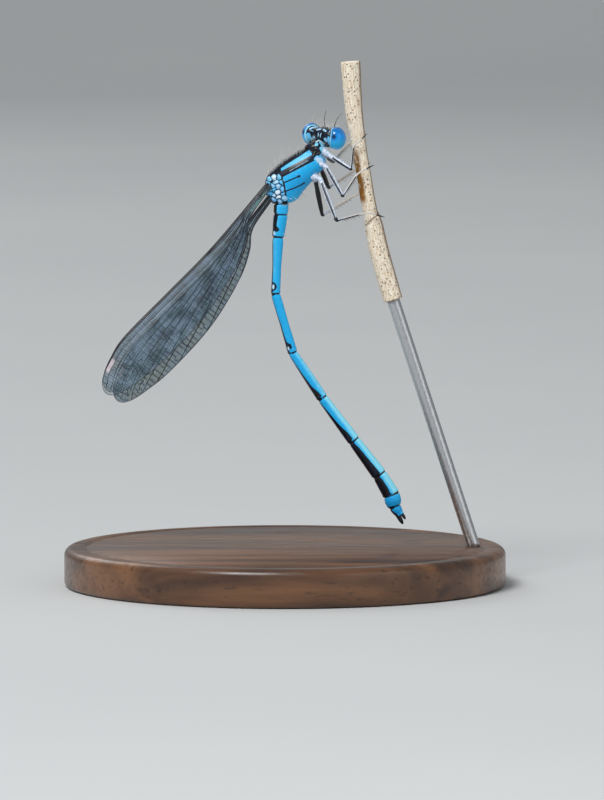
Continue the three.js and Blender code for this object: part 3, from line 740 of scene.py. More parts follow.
thoraxMarks = {
    "midBand": ((1.92, 33.62), (-0.62, 31.96)),  # edge of the black band along the back
    "strokes": [
        ([(2.15, 32.96), (-0.15, 31.75)], 0.235), ([(2.08, 33.77), (2.23, 33.38), (2.15, 33.0)], 0.13),
        ([(-0.15, 31.92), (-0.23, 31.31), (-0.08, 31.0), (0.08, 30.08)], 0.06),
        ([(-0.08, 31.04), (0.54, 31.31), (1.08, 31.54)], 0.05), ([(1.06, 31.53), (1.1, 31.55)], 0.09),
        ([(0.0, 30.38), (0.85, 30.69), (1.3, 30.92), (1.5, 31.05)], 0.05),
        ([(-0.8, 29.23), (0.5, 29.45)], 0.1),
    ],
    "humeralLine": ([(1.77, 32.75), (0.36, 31.95)], 0.02), "plateSeam": 0.055,
    "plateRim": 0.07, "warp": 0.035,
    "coxae": [([(2.55, 32.85), (3.1, 32.4)], 0.28), ([(2.35, 31.7), (2.7, 31.5)], 0.22)],
    "wingField": ((-0.27, 31.92), (0.12, 30.0)),
    "shieldSpot": ([(2.42, 34.0), (2.43, 34.01)], 0.13), "shieldSide": ([(2.95, 34.15), (3.0, 33.4)], 0.27),
    "shieldRim": ([(2.38, 34.19), (2.65, 34.35), (2.88, 34.12)], 0.05), "shieldTone": 0.85,
}
# For each segment: share of its length, and how far the black reaches from back (0) to belly (1)
abdomenMarks = [
    [(0, 0.2), (1, 0.2)],
    [(0, 0.3), (0.5, 0.27), (0.6, 0.5), (0.72, 0.5), (0.77, 0.14), (1, 0.1)],
    [(0, 0.02), (0.15, 0.07), (0.77, 0.1), (0.8, 0.42), (0.86, 0.6), (0.92, 0.45), (0.95, 0.12), (1, 0.1)],
    [(0, 0.03), (0.3, 0.08), (0.7, 0.16), (0.8, 0.22), (0.84, 0.55), (0.9, 0.6), (0.93, 0.25), (1, 0.15)],
    [(0, 0.04), (0.4, 0.16), (0.7, 0.27), (0.85, 0.5), (0.94, 0.55), (0.97, 0.3), (1, 0.3)],
    [(0, 0.05), (0.3, 0.2), (0.6, 0.32), (0.8, 0.5), (0.93, 0.52), (0.97, 0.3), (1, 0.3)],
    [(0, 0.4), (0.2, 0.5), (0.5, 0.55), (0.8, 0.6), (0.95, 0.62), (1, 0.5)],
    [(0, 0.45), (0.2, 0.52), (0.6, 0.54), (0.86, 0.5), (0.93, 0.6), (0.95, 0.0), (1, 0.0)],
    [(0, 0), (1, 0)],
    [(0, 0.1), (0.4, 0.2), (1, 0.4)],
]
ringWidths = [0.07, 0.12, 0.14, 0.13, 0.11, 0.1, 0.08, 0.07, 0.13, 0.0]
# How much paler the belly is than the side, partly its own colour and partly painted light from above:
# segment and paleness
bellyToneAndLight = [(0, 0.2), (1, 0.1), (3, 0.1), (4, 0.5), (5, 0.8), (7, 0.85), (8, 0.2), (9, 0.1)]
# Painted highlights: white spots inside the black spots, where the glossy black catches the light: segment,
# share of length, reach, and radius
paintedGlints = [(1, 0.82, 0.13, 0.11), (2, 0.865, 0.2, 0.12), (3, 0.9, 0.2, 0.1)]
# Where one part of the body ends and the next begins
regions = {
    "tailTop": 29.4, "headFoot": 33.9, "headLimits": (-0.9, -1.05), "shieldFoot": 33.2,
    "shieldEdge": ((2.35, 33.0), (1.75, 33.7)),
    "neckMiddle": (2.35, 0, 33.85), "neckReach": (0.75, 0.8, 0.62),
}
# Where the blue of the face begins, along face and crown; the lip line's height and half width
faceMarks = {"face": 0.36, "crown": 0.33, "lip": (-0.44, 0.035), "tone": 0.62}
# Pale marks on the black back of the head: a stroke along right, face and crown, its radius and whiteness
headMarks = [
    ([(0.96, -0.42, 0.61), (0.85, -0.21, 0.67), (0.75, 0.01, 0.62)], 0.07, 0.45),
    ([(0.93, -0.52, 0.4), (0.82, -0.42, 0.5), (0.72, -0.4, 0.42)], 0.035, 0.55),
    ([(1.02, -0.67, 0.16), (0.97, -0.68, 0.02), (0.86, -0.6, -0.22)], 0.19, 0.12),
    ([(0.42, -0.25, 0.57), (0.18, -0.16, 0.62)], 0.1, 0.5),
    ([(0.15, -0.48, 0.38), (0.14, -0.47, 0.4)], 0.045, 0.6),
    ([(0.1, -0.52, 0.3), (0.12, -0.53, 0.1)], 0.05, 0.8),
    ([(0.56, -0.52, -0.02), (0.66, -0.5, -0.2)], 0.15, 0.3),
    ([(0.9, -0.62, -0.5), (0.7, -0.5, -0.62)], 0.12, 0.3),
]


def toHead(points):
    return (points - headTurn[1]) @ headTurn[0].T


def lineSide(points, line):
    a, b = np.array(line[0]), np.array(line[1])
    d = unit(b - a)
    return (points - a) @ np.array([d[1], -d[0]])  # positive on the back's side


def abdomenPlace(points):
    # For each point its segment, its share of the segment's length and its angle from the back
    best = np.full(len(points), 1e3)
    segment = np.zeros(len(points), int)
    share = np.zeros(len(points))
    for k in range(10):
        t = (points - joints[k]) @ courses[k] / lengths[k]
        foot = joints[k] + np.outer(np.clip(t, 0, 1) * lengths[k], courses[k])
        away = np.linalg.norm(points - foot, axis=1)
        closer = away < best
        best[closer], segment[closer], share[closer] = away[closer], k, t[closer]
    dorsal = np.stack([courses[segment][:, 2], np.zeros(len(points)), -courses[segment][:, 0]], 1)
    foot = joints[segment] + courses[segment] * (share * lengths[segment])[:, None]
    arm = points - foot
    rise = (arm * dorsal).sum(1) / np.maximum(np.linalg.norm(arm, axis=1), 1e-6)
    return segment, share, np.arccos(np.clip(rise, -1, 1))


def uneven(flat):
    # Small shifts that keep painted outlines from being too even
    x, z = flat.T
    return thoraxMarks["warp"] * np.stack([np.sin(13 * z + 6 * x), np.sin(15 * x - 4 * z)], 1)


# Each paint gives the distance into the blue, negative where black, the tone of the blue and the whiteness

def thoraxPaint(flat):
    m = thoraxMarks
    band = -lineSide(flat, m["midBand"])
    dark = band
    for stroke in m["strokes"]:
        dark = np.minimum(dark, capsule(flat, *stroke))
    humeral = -capsule(flat, *m["humeralLine"])
    dark = np.maximum(dark, humeral)
    # The wing bases: small pale plates with black seams between them, whitened in places as painted
    # highlights
    field = -lineSide(flat, m["wingField"])
    warped = flat + uneven(flat)
    gaps = np.array([np.hypot(*(warped - [x, z]).T) - radius for x, z, radius, _ in wingPlates])
    nearest, second = np.sort(gaps, 0)[:2]
    plates = np.maximum(m["plateSeam"] - (second - nearest), nearest - m["plateRim"])
    plateGlint = np.array([plate[3] for plate in wingPlates])[gaps.argmin(0)]
    dark = np.minimum(dark, np.maximum(field, -plates))
    tone = 0.72 - 0.34 * smoothStep(band, 0.3, 1.7) + 0.3 * smoothStep(band, 2.0, 2.7)
    white = np.maximum(0.6 * smoothStep(humeral, -0.03, 0.02),
                       plateGlint * smoothStep(-plates, 0.0, 0.08) * (field < 0.1))
    # Pale leg bases below the side, with a dark seam round each
    for line, half in m["coxae"]:
        reach = capsule(flat + 1.5 * uneven(flat), line, half)
        white = np.maximum(white, 0.55 * smoothStep(-reach, -0.04, 0.2))
        dark = np.where(reach < 0.035, np.where(reach < 0, 0.5, 0.0), dark)
    return dark, tone, white


def shieldPaint(flat):
    m = thoraxMarks
    rim = capsule(flat, *m["shieldRim"])
    side = capsule(flat + 2 * uneven(flat), *m["shieldSide"])
    patches = np.minimum(np.minimum(capsule(flat, *m["shieldSpot"]), side), rim)
    return -patches, np.full(len(flat), m["shieldTone"]), 0.7 * smoothStep(-rim, -0.02, 0.03)


def headPaint(local):
    # Black above and behind with pale spots, blue face with a black line over the lip
    mirrored = local.copy()
    mirrored[:, 0] = np.abs(mirrored[:, 0])
    spots, white = np.full(len(local), 1.0), np.zeros(len(local))
    for line, radius, whiteness in headMarks:
        reach = capsule(mirrored, line, radius)
        spots = np.minimum(spots, reach)
        white = np.maximum(white, whiteness * smoothStep(-reach, -0.02, 0.05))
    face = np.maximum(faceMarks["face"] - local[:, 1], local[:, 2] - faceMarks["crown"])
    lipHeight, lipHalf = faceMarks["lip"]
    lip = np.abs(local[:, 2] - lipHeight) - lipHalf
    return np.minimum(-np.minimum(face, spots), lip), np.full(len(local), faceMarks["tone"]), white


def tailPaint(segment, share, angle):
    reach, radius, white = np.zeros((3, len(share)))
    ring = np.full(len(share), 1.0)
    for k in range(10):
        here = segment == k
        reach[here] = np.interp(share[here], *zip(*abdomenMarks[k]))
        ring[here] = (1 - share[here]) * lengths[k] - ringWidths[k]
        radius[here] = np.mean(abdomen["radii"][k])
    edge = np.arccos(np.clip(1 - 2 * reach, -1, 1))
    dark = np.where(reach < 0.001, 0.5, (angle - edge) * radius)
    # Each painted highlight is cut out of the black and painted white
    for k, f, q, size in paintedGlints:
        along = (share - f) * lengths[k]
        across = (angle - math.acos(1 - 2 * q)) * radius
        glint = np.hypot(along / 1.7, across) - size
        glint[segment != k] = 1
        dark = np.maximum(dark, -glint)
        white = np.maximum(white, 0.75 * smoothStep(-glint, -0.02, 0.06))
    belly = (1 - np.cos(angle)) / 2
    # Paleness of the belly: partly its own colour, partly painted light from above
    paleness = np.interp(segment, *zip(*bellyToneAndLight))
    # On the first three segments the back is painted paler, as a highlight along it
    tone = (0.45 - 0.12 * (segment >= 8) + 0.8 * paleness * smoothStep(belly, 0.4, 0.9)
            + 0.2 * (segment < 3) * (1 - smoothStep(belly, 0.2, 0.7)))
    return np.minimum(dark, ring), tone, white


def paintSkin(skin):
    points = pointsOf(skin)
    local = toHead(points)
    flat = np.stack([points[:, 0], points[:, 2] - viewSlope * np.abs(points[:, 1])], 1)
    segment, share, angle = abdomenPlace(points)
    height, (rearmost, lowest) = points[:, 2], regions["headLimits"]
    onTail = height < regions["tailTop"]
    offNeck = np.linalg.norm((points - regions["neckMiddle"]) / regions["neckReach"], axis=1) > 1
    onHead = (height > regions["headFoot"]) & (local[:, 1] > rearmost) & (local[:, 2] > lowest) & offNeck
    onShield = ~onHead & (lineSide(flat, regions["shieldEdge"]) > 0) & (height > regions["shieldFoot"])
    onThorax = ~onHead & ~onShield & ~onTail
    painted = np.zeros((3, len(points)))
    for mask, paint in ((onThorax, thoraxPaint(flat)), (onShield, shieldPaint(flat)),
                        (onHead, headPaint(local)), (onTail, tailPaint(segment, share, angle))):
        painted[:, mask] = np.array(paint)[:, mask]
    for name, values in zip(("dark", "tone", "white"), painted):
        setValue(skin, name, values)
    return {"head": onHead, "shield": onShield, "thorax": onThorax, "tail": onTail, "local": local,
            "flat": flat, "angle": angle, "segment": segment}


clasper = {
    "length": 0.72, "spread": 0.24,
    # height over the tail's middle, thickness and share of the length
    "pairs": [(0.15, 0.17, 1.0), (-0.17, 0.12, 0.72)],
    "places": (0, 0.3, 0.75, 0.95, 1), "taper": (1, 1.05, 0.85, 0.5, 0.15),
}


def tailClaspers():
    # Two upper claspers and two shorter, lower ones
    course, end = courses[-1], joints[-1]
    dorsal = np.array([course[2], 0, -course[0]])
    made = []
    for side in (-1, 1):
        for lift, size, reach in clasper["pairs"]:
            start = end - course * 0.15 + dorsal * lift + np.array([0, side * clasper["spread"] * 0.8, 0])
            tip = end + course * clasper["length"] * reach + dorsal * (lift * 1.1)
            tip = tip + np.array([0, side * clasper["spread"] * 0.9, 0])
            middle = (start + tip) / 2 + np.array([0, side * 0.05, 0])
            line = smoothLine([start, middle, tip], 16)
            radii = size * np.interp(np.linspace(0, 1, 16), clasper["places"], clasper["taper"])
            made.append(loft("clasper", tubeRings(line, radii, 16)))
    return made


skin = frontSkin()
skin = fused(skin, loft("abdomen", abdomenRings()))
for piece in tailClaspers():
    skin = fused(skin, piece)
marks = paintSkin(skin)
print("skin made", len(skin.data.polygons))

# Fine pale hairs on back, head and belly, as solid mesh
hairs = {
    "radius": 0.017, "bend": 0.25, "spread": 0.35, "patch": 0.003,
    # hairs per square millimetre and their length
    "back": (8, 1.05), "head": (11, 0.95), "shield": (8, 0.6), "side": (0.6, 0.2), "belly": (6, 0.5),
    "waist": (6, 0.36),
}


def hairCoat(skin, marks):
    grower = skin.copy()
    grower.data = skin.data.copy()
    bpy.context.scene.collection.objects.link(grower)
    count = len(grower.data.vertices)
    amount, length = np.zeros(count), np.full(count, 0.3)
    local, band = marks["local"], -lineSide(marks["flat"], thoraxMarks["midBand"])
    zones = [
        ("side", marks["thorax"]), ("belly", marks["thorax"] & (band > 2.25)),
        ("back", marks["thorax"] & (band < -0.02) & (marks["flat"][:, 0] > -1.35)),
        ("shield", marks["shield"]),
        ("waist", marks["tail"] & (marks["segment"] < 2) & (marks["angle"] > 2.1)),
        ("head", marks["head"] & (local[:, 2] > 0.42) & (np.abs(local[:, 0]) < 1.45) & (local[:, 1] < 0.5)),
    ]
    for zone, mask in zones:
        amount[mask], length[mask] = hairs[zone]
    lie = normalsOf(grower)
    forward = unit(np.array([0.84, 0, 0.55]))
    lie[marks["thorax"]] += 0.25 * forward
    setValue(grower, "hairs", amount)
    setValue(grower, "hairLength", length)
    layer = grower.data.attributes.new("lie", "FLOAT_VECTOR", "POINT")
    layer.data.foreach_set("vector", lie.astype(np.float32).ravel())
    return grown(grower, coat, {
        "Radius": hairs["radius"], "Bend": hairs["bend"], "Spread": hairs["spread"], "Seed": 7,
        "Material": finishes["hair"]})


def bakeMap(thing):
    # Each hair is a small patch at its root's place, on an unwrap of the body along and around
    count = len(thing.data.vertices)
    roots = np.zeros(count * 3, np.float32)
    thing.data.attributes["rootPlace"].data.foreach_get("vector", roots)
    roots = roots.reshape(-1, 3)
    along = (np.array([-0.5, 34.0]) - roots[:, [0, 2]]) @ unit(np.array([0.25, 1.0])) / 36.0 + 0.15
    around = np.arctan2(roots[:, 1], roots[:, 0] - np.interp(roots[:, 2], [5, 20, 29, 35], [8, 0, 0, 2.6]))
    around = around / (2 * math.pi) + 0.5
    corners = np.zeros(len(thing.data.loops), np.int32)
    thing.data.loops.foreach_get("vertex_index", corners)
    fan = np.stack([(corners % 5) / 5, (corners % 3) / 3], 1) * hairs["patch"]
    mapping = np.stack([np.clip(along, 0, 0.99), np.clip(around, 0, 0.99)], 1)[corners] + fan
    layer = thing.data.uv_layers.new(name="OFBake")
    layer.data.foreach_set("uv", mapping.astype(np.float32).ravel())
    thing.data.attributes.remove(thing.data.attributes["rootPlace"])


coatPiece = hairCoat(skin, marks)
bakeMap(coatPiece)
coatPiece = finishPiece(coatPiece, "body_hairs", finishes["hair"])
skin = finishPiece(skin, "body_skin", finishes["cuticle"], [
    "head", "prothorax", "thorax", *[f"abdomen_{k}" for k in range(1, 11)], "clasper_left", "clasper_right"])
print("hairs made", len(coatPiece.data.polygons))


def eyePiece(side):
    # A cap over each lobe, its rim sunk into the head
    axis = unit(np.array(head["eyeAxis"]) * [side, 1, 1])
    level = unit(np.cross(axis, (0, 0, 1)))
    lift = np.cross(level, axis)
    polar = np.radians(np.concatenate([np.linspace(0.6, head["eyeEnd"] - 12, 60),
                                       np.linspace(head["eyeEnd"] - 10, head["eyeEnd"] + 8, 12)]))
    end = math.radians(head["eyeEnd"])
    shrink = 1 - 0.13 * smoothStep(polar, end - 0.2, end + 0.14)
    way = np.cos(polar)[:, None, None] * axis + np.sin(polar)[:, None, None] * spokes(circle(96), level, lift)
    middle = np.array([side * head["spacing"] / 2, 0, 0])
    rings = way * head["eye"] * shrink[:, None, None] + middle
    made = loft("eye", rings @ headTurn[0] + headTurn[1])
    course = unit(toHead(pointsOf(made)) - middle)
    towards, shift = (np.array(part) * [side, 1, 1] for part in head["pupil"])
    polarAngle = np.arccos(np.clip(course @ axis, -1, 1))
    shade = smoothStep(course @ unit(np.array([side * -0.2, 0.35, 0.9])), -0.95, 1.0)
    rear = smoothStep(polarAngle, end - 1.0, end - 0.4) * smoothStep(course[:, 2], -0.2, 0.4)
    setValue(made, "shade", np.maximum(shade, 0.95 * rear))
    setValue(made, "rim", 0.9 * smoothStep(polarAngle, end - 0.28, end - 0.14))
    gap = np.arccos(np.clip(course @ unit(unit(towards) + shift), -1, 1))
    setValue(made, "pupil", 0.85 * (1 - smoothStep(gap, *head["pupilFade"])))
    name = "left" if side < 0 else "right"
    finishPiece(made, f"compound_eye_{name}", finishes["eye"], [f"eye_{name}"])


for side in (-1, 1):
    eyePiece(side)

antenna = {
    "root": (0.36, 0.55, 0.3), "reach": (0.42, 0.9, 1.25), "bow": (0, -0.12, 0.08), "steps": 26,
    # radii and the shares of the length that they belong to
    "radii": (0.1, 0.12, 0.07, 0.075, 0.03, 0.014), "places": (0, 0.1, 0.17, 0.25, 0.36, 1),
}
for side, name in ((-1, "left"), (1, "right")):
    root, reach = (np.array(antenna[end]) * [side, 1, 1] for end in ("root", "reach"))
    line = smoothLine([root, root + reach * 0.18, root + reach * 0.6 + antenna["bow"], root + reach],
                      antenna["steps"])
    radii = np.interp(np.linspace(0, 1, antenna["steps"]), antenna["places"], antenna["radii"])
    feeler = loft("feeler", tubeRings(line @ headTurn[0] + headTurn[1], radii, 10))
    finishPiece(feeler, f"feeler_{name}", finishes["horn"], [f"antenna_{name}"])
print("head made")

# Wings
wings = {
    "fore": {"root": (-1.15, 31.0), "tip": (-13.7, 14.95), "rootOff": 0.75, "off": 1.38},
    "hind": {"root": (-1.08, 30.0), "tip": (-12.85, 14.3), "rootOff": 0.42, "off": 0.45},
    "front": [
        (0, 0.2), (0.2, 0.3), (0.37, 0.5), (0.58, 1.0), (0.8, 1.5), (0.9, 1.3), (0.96, 0.96), (0.99, 0.52),
        (1, 0.15),
    ],
    "rear": [
        (0, -0.22), (0.14, -0.36), (0.22, -1.2), (0.34, -1.9), (0.55, -2.28), (0.78, -1.85), (0.9, -1.28),
        (0.96, -0.86), (0.99, -0.45), (1, -0.1),
    ],
    "film": 0.03, "filmGrid": (110, 26), "cell": 0.42, "rows": 0.48, "net": 0.02, "main": 0.028,
    # share of the length, and place between front edge (0) and rear edge (1)
    "veins": {
        "subcosta": [(0, 0.16), (0.2, 0.12), (0.37, 0.005)],
        "radius": [(0, 0.34), (0.14, 0.32), (0.37, 0.2), (0.6, 0.13), (0.9, 0.14), (0.985, 0.3)],
        "sector1": [(0.16, 0.38), (0.3, 0.33), (0.45, 0.27), (0.7, 0.24), (0.9, 0.3), (0.99, 0.62)],
        "sector2": [(0.52, 0.3), (0.65, 0.37), (0.8, 0.47), (0.92, 0.68), (0.965, 0.98)],
        "sector3": [(0.36, 0.33), (0.5, 0.42), (0.7, 0.56), (0.85, 0.78), (0.92, 0.99)],
        "sector4": [(0.28, 0.38), (0.45, 0.5), (0.6, 0.62), (0.75, 0.8), (0.85, 0.99)],
        "media": [(0.16, 0.5), (0.3, 0.55), (0.45, 0.65), (0.6, 0.8), (0.73, 0.99)],
        "cubitus": [(0, 0.66), (0.14, 0.68), (0.3, 0.76), (0.45, 0.87), (0.57, 0.99)],
        "anal": [(0, 0.9), (0.14, 0.9), (0.24, 0.95), (0.32, 0.99)],
    },
    "spot": (0.885, 0.935),
}
frontEdge = smoothLine(wings["front"], 300)
rearEdge = smoothLine(wings["rear"], 300)


def finerToTip(count):
    return 1 - np.linspace(1, 0, count) ** 1.35


def wingEdges(share):
    # How far the front and rear edges stand from the line between root and tip
    return [np.interp(share, *edge.T) for edge in (frontEdge, rearEdge)]


def wingPoint(form, side, share, line):
    # share runs from root to tip and line from the front edge to the rear edge
    root, tip = (np.array([form[end][0], 0, form[end][1]]) for end in ("root", "tip"))
    along = tip - root
    front = unit(np.array([along[2], 0, -along[0]]))
    ahead, behind = wingEdges(share)
    reach = ahead * (1 - line) + behind * line
    off = form["rootOff"] + (form["off"] - form["rootOff"]) * smoothStep(share, 0, 0.16)
    pleat = 0.05 * np.sin(line * 9.5) * (1 - smoothStep(share, 0.2, 0.9)) + 0.03 * np.sin(share * 9)
    made = root + share[..., None] * along + reach[..., None] * front
    made[..., 1] = side * (off + pleat)
    return made


def wingNet(form, side):
    # The main veins and the edges, then zigzag rows and short cross veins that make the cells between them
    length = np.linalg.norm(np.array(form["tip"]) - np.array(form["root"]))
    step = wings["cell"] / length
    veins = {name: smoothLine(line, 60) for name, line in wings["veins"].items()}
    thick = np.array([1.5, 1.0, 0.75]) * wings["main"]
    lines = [(wingPoint(form, side, *line.T), np.interp(line[:, 0], [0, 0.4, 1], thick))
             for line in veins.values()]
    veins["front"] = np.array([(0, 0), (1, 0)], float)
    veins["back"] = np.array([(0, 1), (1, 1)], float)
    rim, end = finerToTip(140), np.linspace(0, 1, 8)
    lines.append((wingPoint(form, side, rim, 0 * rim), np.interp(rim, [0, 0.9, 1], [0.05, 0.045, 0.02])))
    lines.append((wingPoint(form, side, rim, 0 * rim + 1), wings["net"]))
    lines.append((wingPoint(form, side, 0 * end + 1, end), wings["net"]))
    draw = np.random.default_rng(11)
    previous = {}
    for i, share in enumerate(np.arange(0.15, 0.99, step)):
        active = sorted(
            (np.interp(share, line[:, 0], line[:, 1]), name) for name, line in veins.items()
            if line[0, 0] <= share <= line[-1, 0])
        ahead, behind = wingEdges(share)
        width = ahead - behind
        levels = {}
        for (low, name), (high, _) in zip(active[:-1], active[1:]):
            gap = (high - low) * width
            if gap < 0.1:
                continue
            count = max(1, int(round(gap / wings["rows"])))
            rows = low + (high - low) * np.arange(count + 1) / count
            for k in range(1, count):
                zig = 0.06 * (1 if (i + k) % 2 else -1) / width
                here = (share, rows[k] + zig)
                levels[name, k, count] = here
                before = [place for key, place in previous.items() if key[0] == name]
                if before:
                    near = min(before, key=lambda place: abs(place[1] - here[1]))
                    pair = np.array([near, here])
                    lines.append((wingPoint(form, side, *pair.T), wings["net"]))
            for k in range(count):
                slide = step * (0.5 * (k % 2) + 0.16 * draw.uniform(-1, 1))
                if share + slide > 0.995:
                    continue
                pair = np.array([(share + slide, rows[k]), (share + slide, rows[k + 1])])
                lines.append((wingPoint(form, side, *pair.T), wings["net"]))
        previous = levels
    return lines


def wingFilm(form, side):
    # Two layers of one grid, joined round the edge
    rows, columns = wings["filmGrid"]
    share = np.repeat(finerToTip(rows), columns)
    line = np.tile(np.linspace(0, 1, columns), rows)
    layer = wingPoint(form, side, share, line)
    count = rows * columns
    faces = []
    for start in range(0, count - columns, columns):
        for a in range(start, start + columns - 1):
            under = a + count
            faces.append((a, a + 1, a + 1 + columns, a + columns))
            faces.append((under, under + columns, under + 1 + columns, under + 1))
    rim = [*range(columns), *range(2 * columns - 1, count, columns),
           *range(count - 2, count - columns - 1, -1), *range(count - 2 * columns, 0, -columns)]
    for a, b in zip(rim, rim[1:] + rim[:1]):
        faces.append((a, b, b + count, a + count))
    points = np.vstack([layer + [0, lift * wings["film"] / 2, 0] for lift in (1, -1)])
    made = turnedOut(meshObject("film", points, faces))
    # The pterostigma's place, which the film paints pale pink as a reflection
    first, last = wings["spot"]
    inside = smoothStep(share, first - 0.004, first) * (1 - smoothStep(share, last, last + 0.004))
    edge = np.interp(share, [0.6, 0.9], [0.13, 0.14])
    mark = inside * (1 - smoothStep(line, edge - 0.01, edge + 0.01))
    setValue(made, "spot", np.tile(mark, 2))
    return made


for pair in ("fore", "hind"):
    for side, name in ((1, "left"), (-1, "right")):
        film = wingFilm(wings[pair], side)
        finishPiece(film, f"film_{pair}_{name}", finishes["film"], [f"wing_{pair}_{name}"])
        net = strandPiece("net", wingNet(wings[pair], side), 5, finishes["horn"])
        finishPiece(net, f"veins_{pair}_{name}", finishes["horn"])
print("wings made")

# Legs
legs = {
    # coxa, trochanter, knee, ankle, foot and claw, as x, distance out, z
    "fore_right": [(2.69, 0.2, 33.71), (3.54, 0.55, 33.13), (5.08, 1.3, 32.16), (5.27, 1.12, 34.02),
                   (5.69, 1.12, 34.3), (6.12, 0.98, 34.74)],
    "mid_right": [(2.0, 0.4, 32.88), (3.15, 0.7, 32.37), (4.42, 1.82, 30.14), (5.5, 1.12, 31.76),
                  (5.87, 1.1, 32.02), (6.62, 0.9, 32.39)],
    "hind_right": [(1.8, 0.4, 31.72), (2.72, 0.75, 31.42), (3.94, 2.38, 28.32), (5.83, 1.15, 28.75),
                   (6.54, 1.12, 28.82), (7.46, 0.8, 28.53)],
    "fore_left": [(2.69, 0.2, 33.67), (3.2, 0.65, 33.09), (3.72, 2.07, 32.54), (4.92, 1.3, 34.01),
                  (5.31, 1.12, 34.36), (6.0, 1.05, 34.83)],
    "mid_left": [(2.0, 0.4, 32.82), (2.75, 0.85, 32.13), (3.36, 2.39, 30.52), (5.15, 1.25, 31.81),
                 (5.62, 1.12, 32.05), (6.38, 1.0, 32.45)],
    "hind_left": [(1.8, 0.4, 31.66), (2.35, 0.85, 31.18), (2.87, 2.03, 28.42), (5.15, 1.2, 29.9),
                  (5.77, 1.12, 30.17), (6.62, 1.0, 30.45)],
}
legLook = {
    "bend": 0.17, "sides": 18, "spines": 7, "spineLength": 0.44, "spineRadius": 0.02,
    # share of the leg's joints (0 coxa to 5 claw) and radius there
    "radii": [
        (0, 0.32), (0.5, 0.27), (0.85, 0.16), (1.0, 0.2), (1.12, 0.16), (1.4, 0.2), (1.8, 0.17),
        (1.93, 0.13), (2.02, 0.145), (2.15, 0.09), (2.6, 0.1), (2.93, 0.085), (3.05, 0.095),
        (3.2, 0.065), (3.95, 0.06), (4.05, 0.07), (4.5, 0.055), (4.9, 0.055), (5.0, 0.04),
    ],
}


def legPath(points):
    # The line through the joints with each bend rounded; also the joint count along it
    made, along = [points[0]], [0.0]
    for i in range(1, len(points) - 1):
        before, joint, after = points[i - 1], points[i], points[i + 1]
        back, ahead = np.linalg.norm(before - joint), np.linalg.norm(after - joint)
        reach = min(legLook["bend"], 0.3 * back, 0.3 * ahead)
        back, ahead = reach / back, reach / ahead
        a, b = joint + unit(before - joint) * reach, joint + unit(after - joint) * reach
        for t in np.linspace(0, 1, 9):
            made.append((1 - t) ** 2 * a + 2 * t * (1 - t) * joint + t * t * b)
            along.append(i - back * (1 - 2 * t) if t < 0.5 else i + ahead * (2 * t - 1))
    made.append(points[-1])
    along.append(len(points) - 1.0)
    dense = np.concatenate([np.linspace(a, b, max(2, int((b - a) * 24)), endpoint=False)
                            for a, b in zip(along[:-1], along[1:])] + [[along[-1]]])
    made = np.array(made)
    return np.stack([np.interp(dense, along, made[:, k]) for k in range(3)], 1), dense


def spineLines(points, upward):
    # Two rows of stiff spines along the femur and, longer, along the tibia
    lines = []
    count, radius = legLook["spines"], legLook["spineRadius"]
    for first, length in ((1, 0.6), (2, 1.0)):
        start, end = points[first:first + 2]
        course = unit(end - start)
        inner = unit(np.cross(course, upward))
        for row in (-1, 1):
            way = unit(inner * 0.75 + upward * row * 0.55 + course * 0.75)
            for k in range(count):
                f = 0.18 + 0.76 * (k + 0.25 * (row > 0)) / count
                at = start + (end - start) * f
                vary = 0.9 - 0.3 * abs(f - 0.5) + 0.16 * math.sin(k * 2.3 + row)
                reach = legLook["spineLength"] * length * vary
                lines.append(([at, at + way * reach * 0.5, at + way * reach + course * reach * 0.12],
                              [radius, radius * 0.7, radius * 0.15]))
    return lines


def clawLines(points, side):
    # A pair of hooked claws that close on the stem
    tip, course = points[5], unit(points[5] - points[4])
    inward = unit(np.array([0, -side, 0]) - course * np.dot([0, -side, 0], course))
    lines = []
    for row in (-1, 1):
        aside = unit(np.cross(course, (0, 0, 1))) * row
        bow = [tip, tip + course * 0.12 + aside * 0.07, tip + course * 0.22 + aside * 0.09 + inward * 0.08,
               tip + course * 0.22 + aside * 0.08 + inward * 0.18]
        lines.append((smoothLine(bow, 8), np.linspace(0.035, 0.008, 8)))
    return lines


def legPiece(name):
    side = 1 if name.endswith("left") else -1
    points = np.array([(x, side * out, z) for x, out, z in legs[name]])
    line, count = legPath(points)
    made = loft("leg", tubeRings(line, np.interp(count, *zip(*legLook["radii"])), legLook["sides"]))
    place = pointsOf(made)
    nearest = np.linalg.norm(place[:, None, :] - line[None, :, :], axis=2).argmin(1)
    count = count[nearest]
    arm = unit(place - line[nearest] + 1e-6)
    # The black stripe runs along the outer face, a little below its middle
    along = unit(np.gradient(line, axis=0))[nearest]
    outer = np.array([0.0, side, -0.25])
    outer = unit(outer - along * (along @ outer)[:, None])
    stripe = smoothStep((arm * outer).sum(1), 0.8, 0.98) * ((count > 1.1) & (count < 2.9))
    dark = np.maximum(stripe, smoothStep(count, 4.3, 4.7))
    dark = np.maximum(dark, 0.8 * (np.abs(count - 2.0) < 0.05))
    if side > 0:
        dark = np.maximum(dark, 0.8 * ((count > 1.0) & (count < 2.1)))  # the far femora are painted dark, as shade on them
    setValue(made, "dark", dark)
    setValue(made, "horn", smoothStep(count, 2.05, 2.5) * (0.6 if side < 0 else 0.8))
    finishPiece(made, f"limb_{name}", finishes["leg"], [f"leg_{name}"])
    upward = unit(np.cross(points[2] - points[1], points[3] - points[2]))
    made = strandPiece("spines", spineLines(points, upward) + clawLines(points, side), 6, finishes["horn"])
    finishPiece(made, f"spines_{name}", finishes["horn"])


for name in legs:
    legPiece(name)
print("legs made")

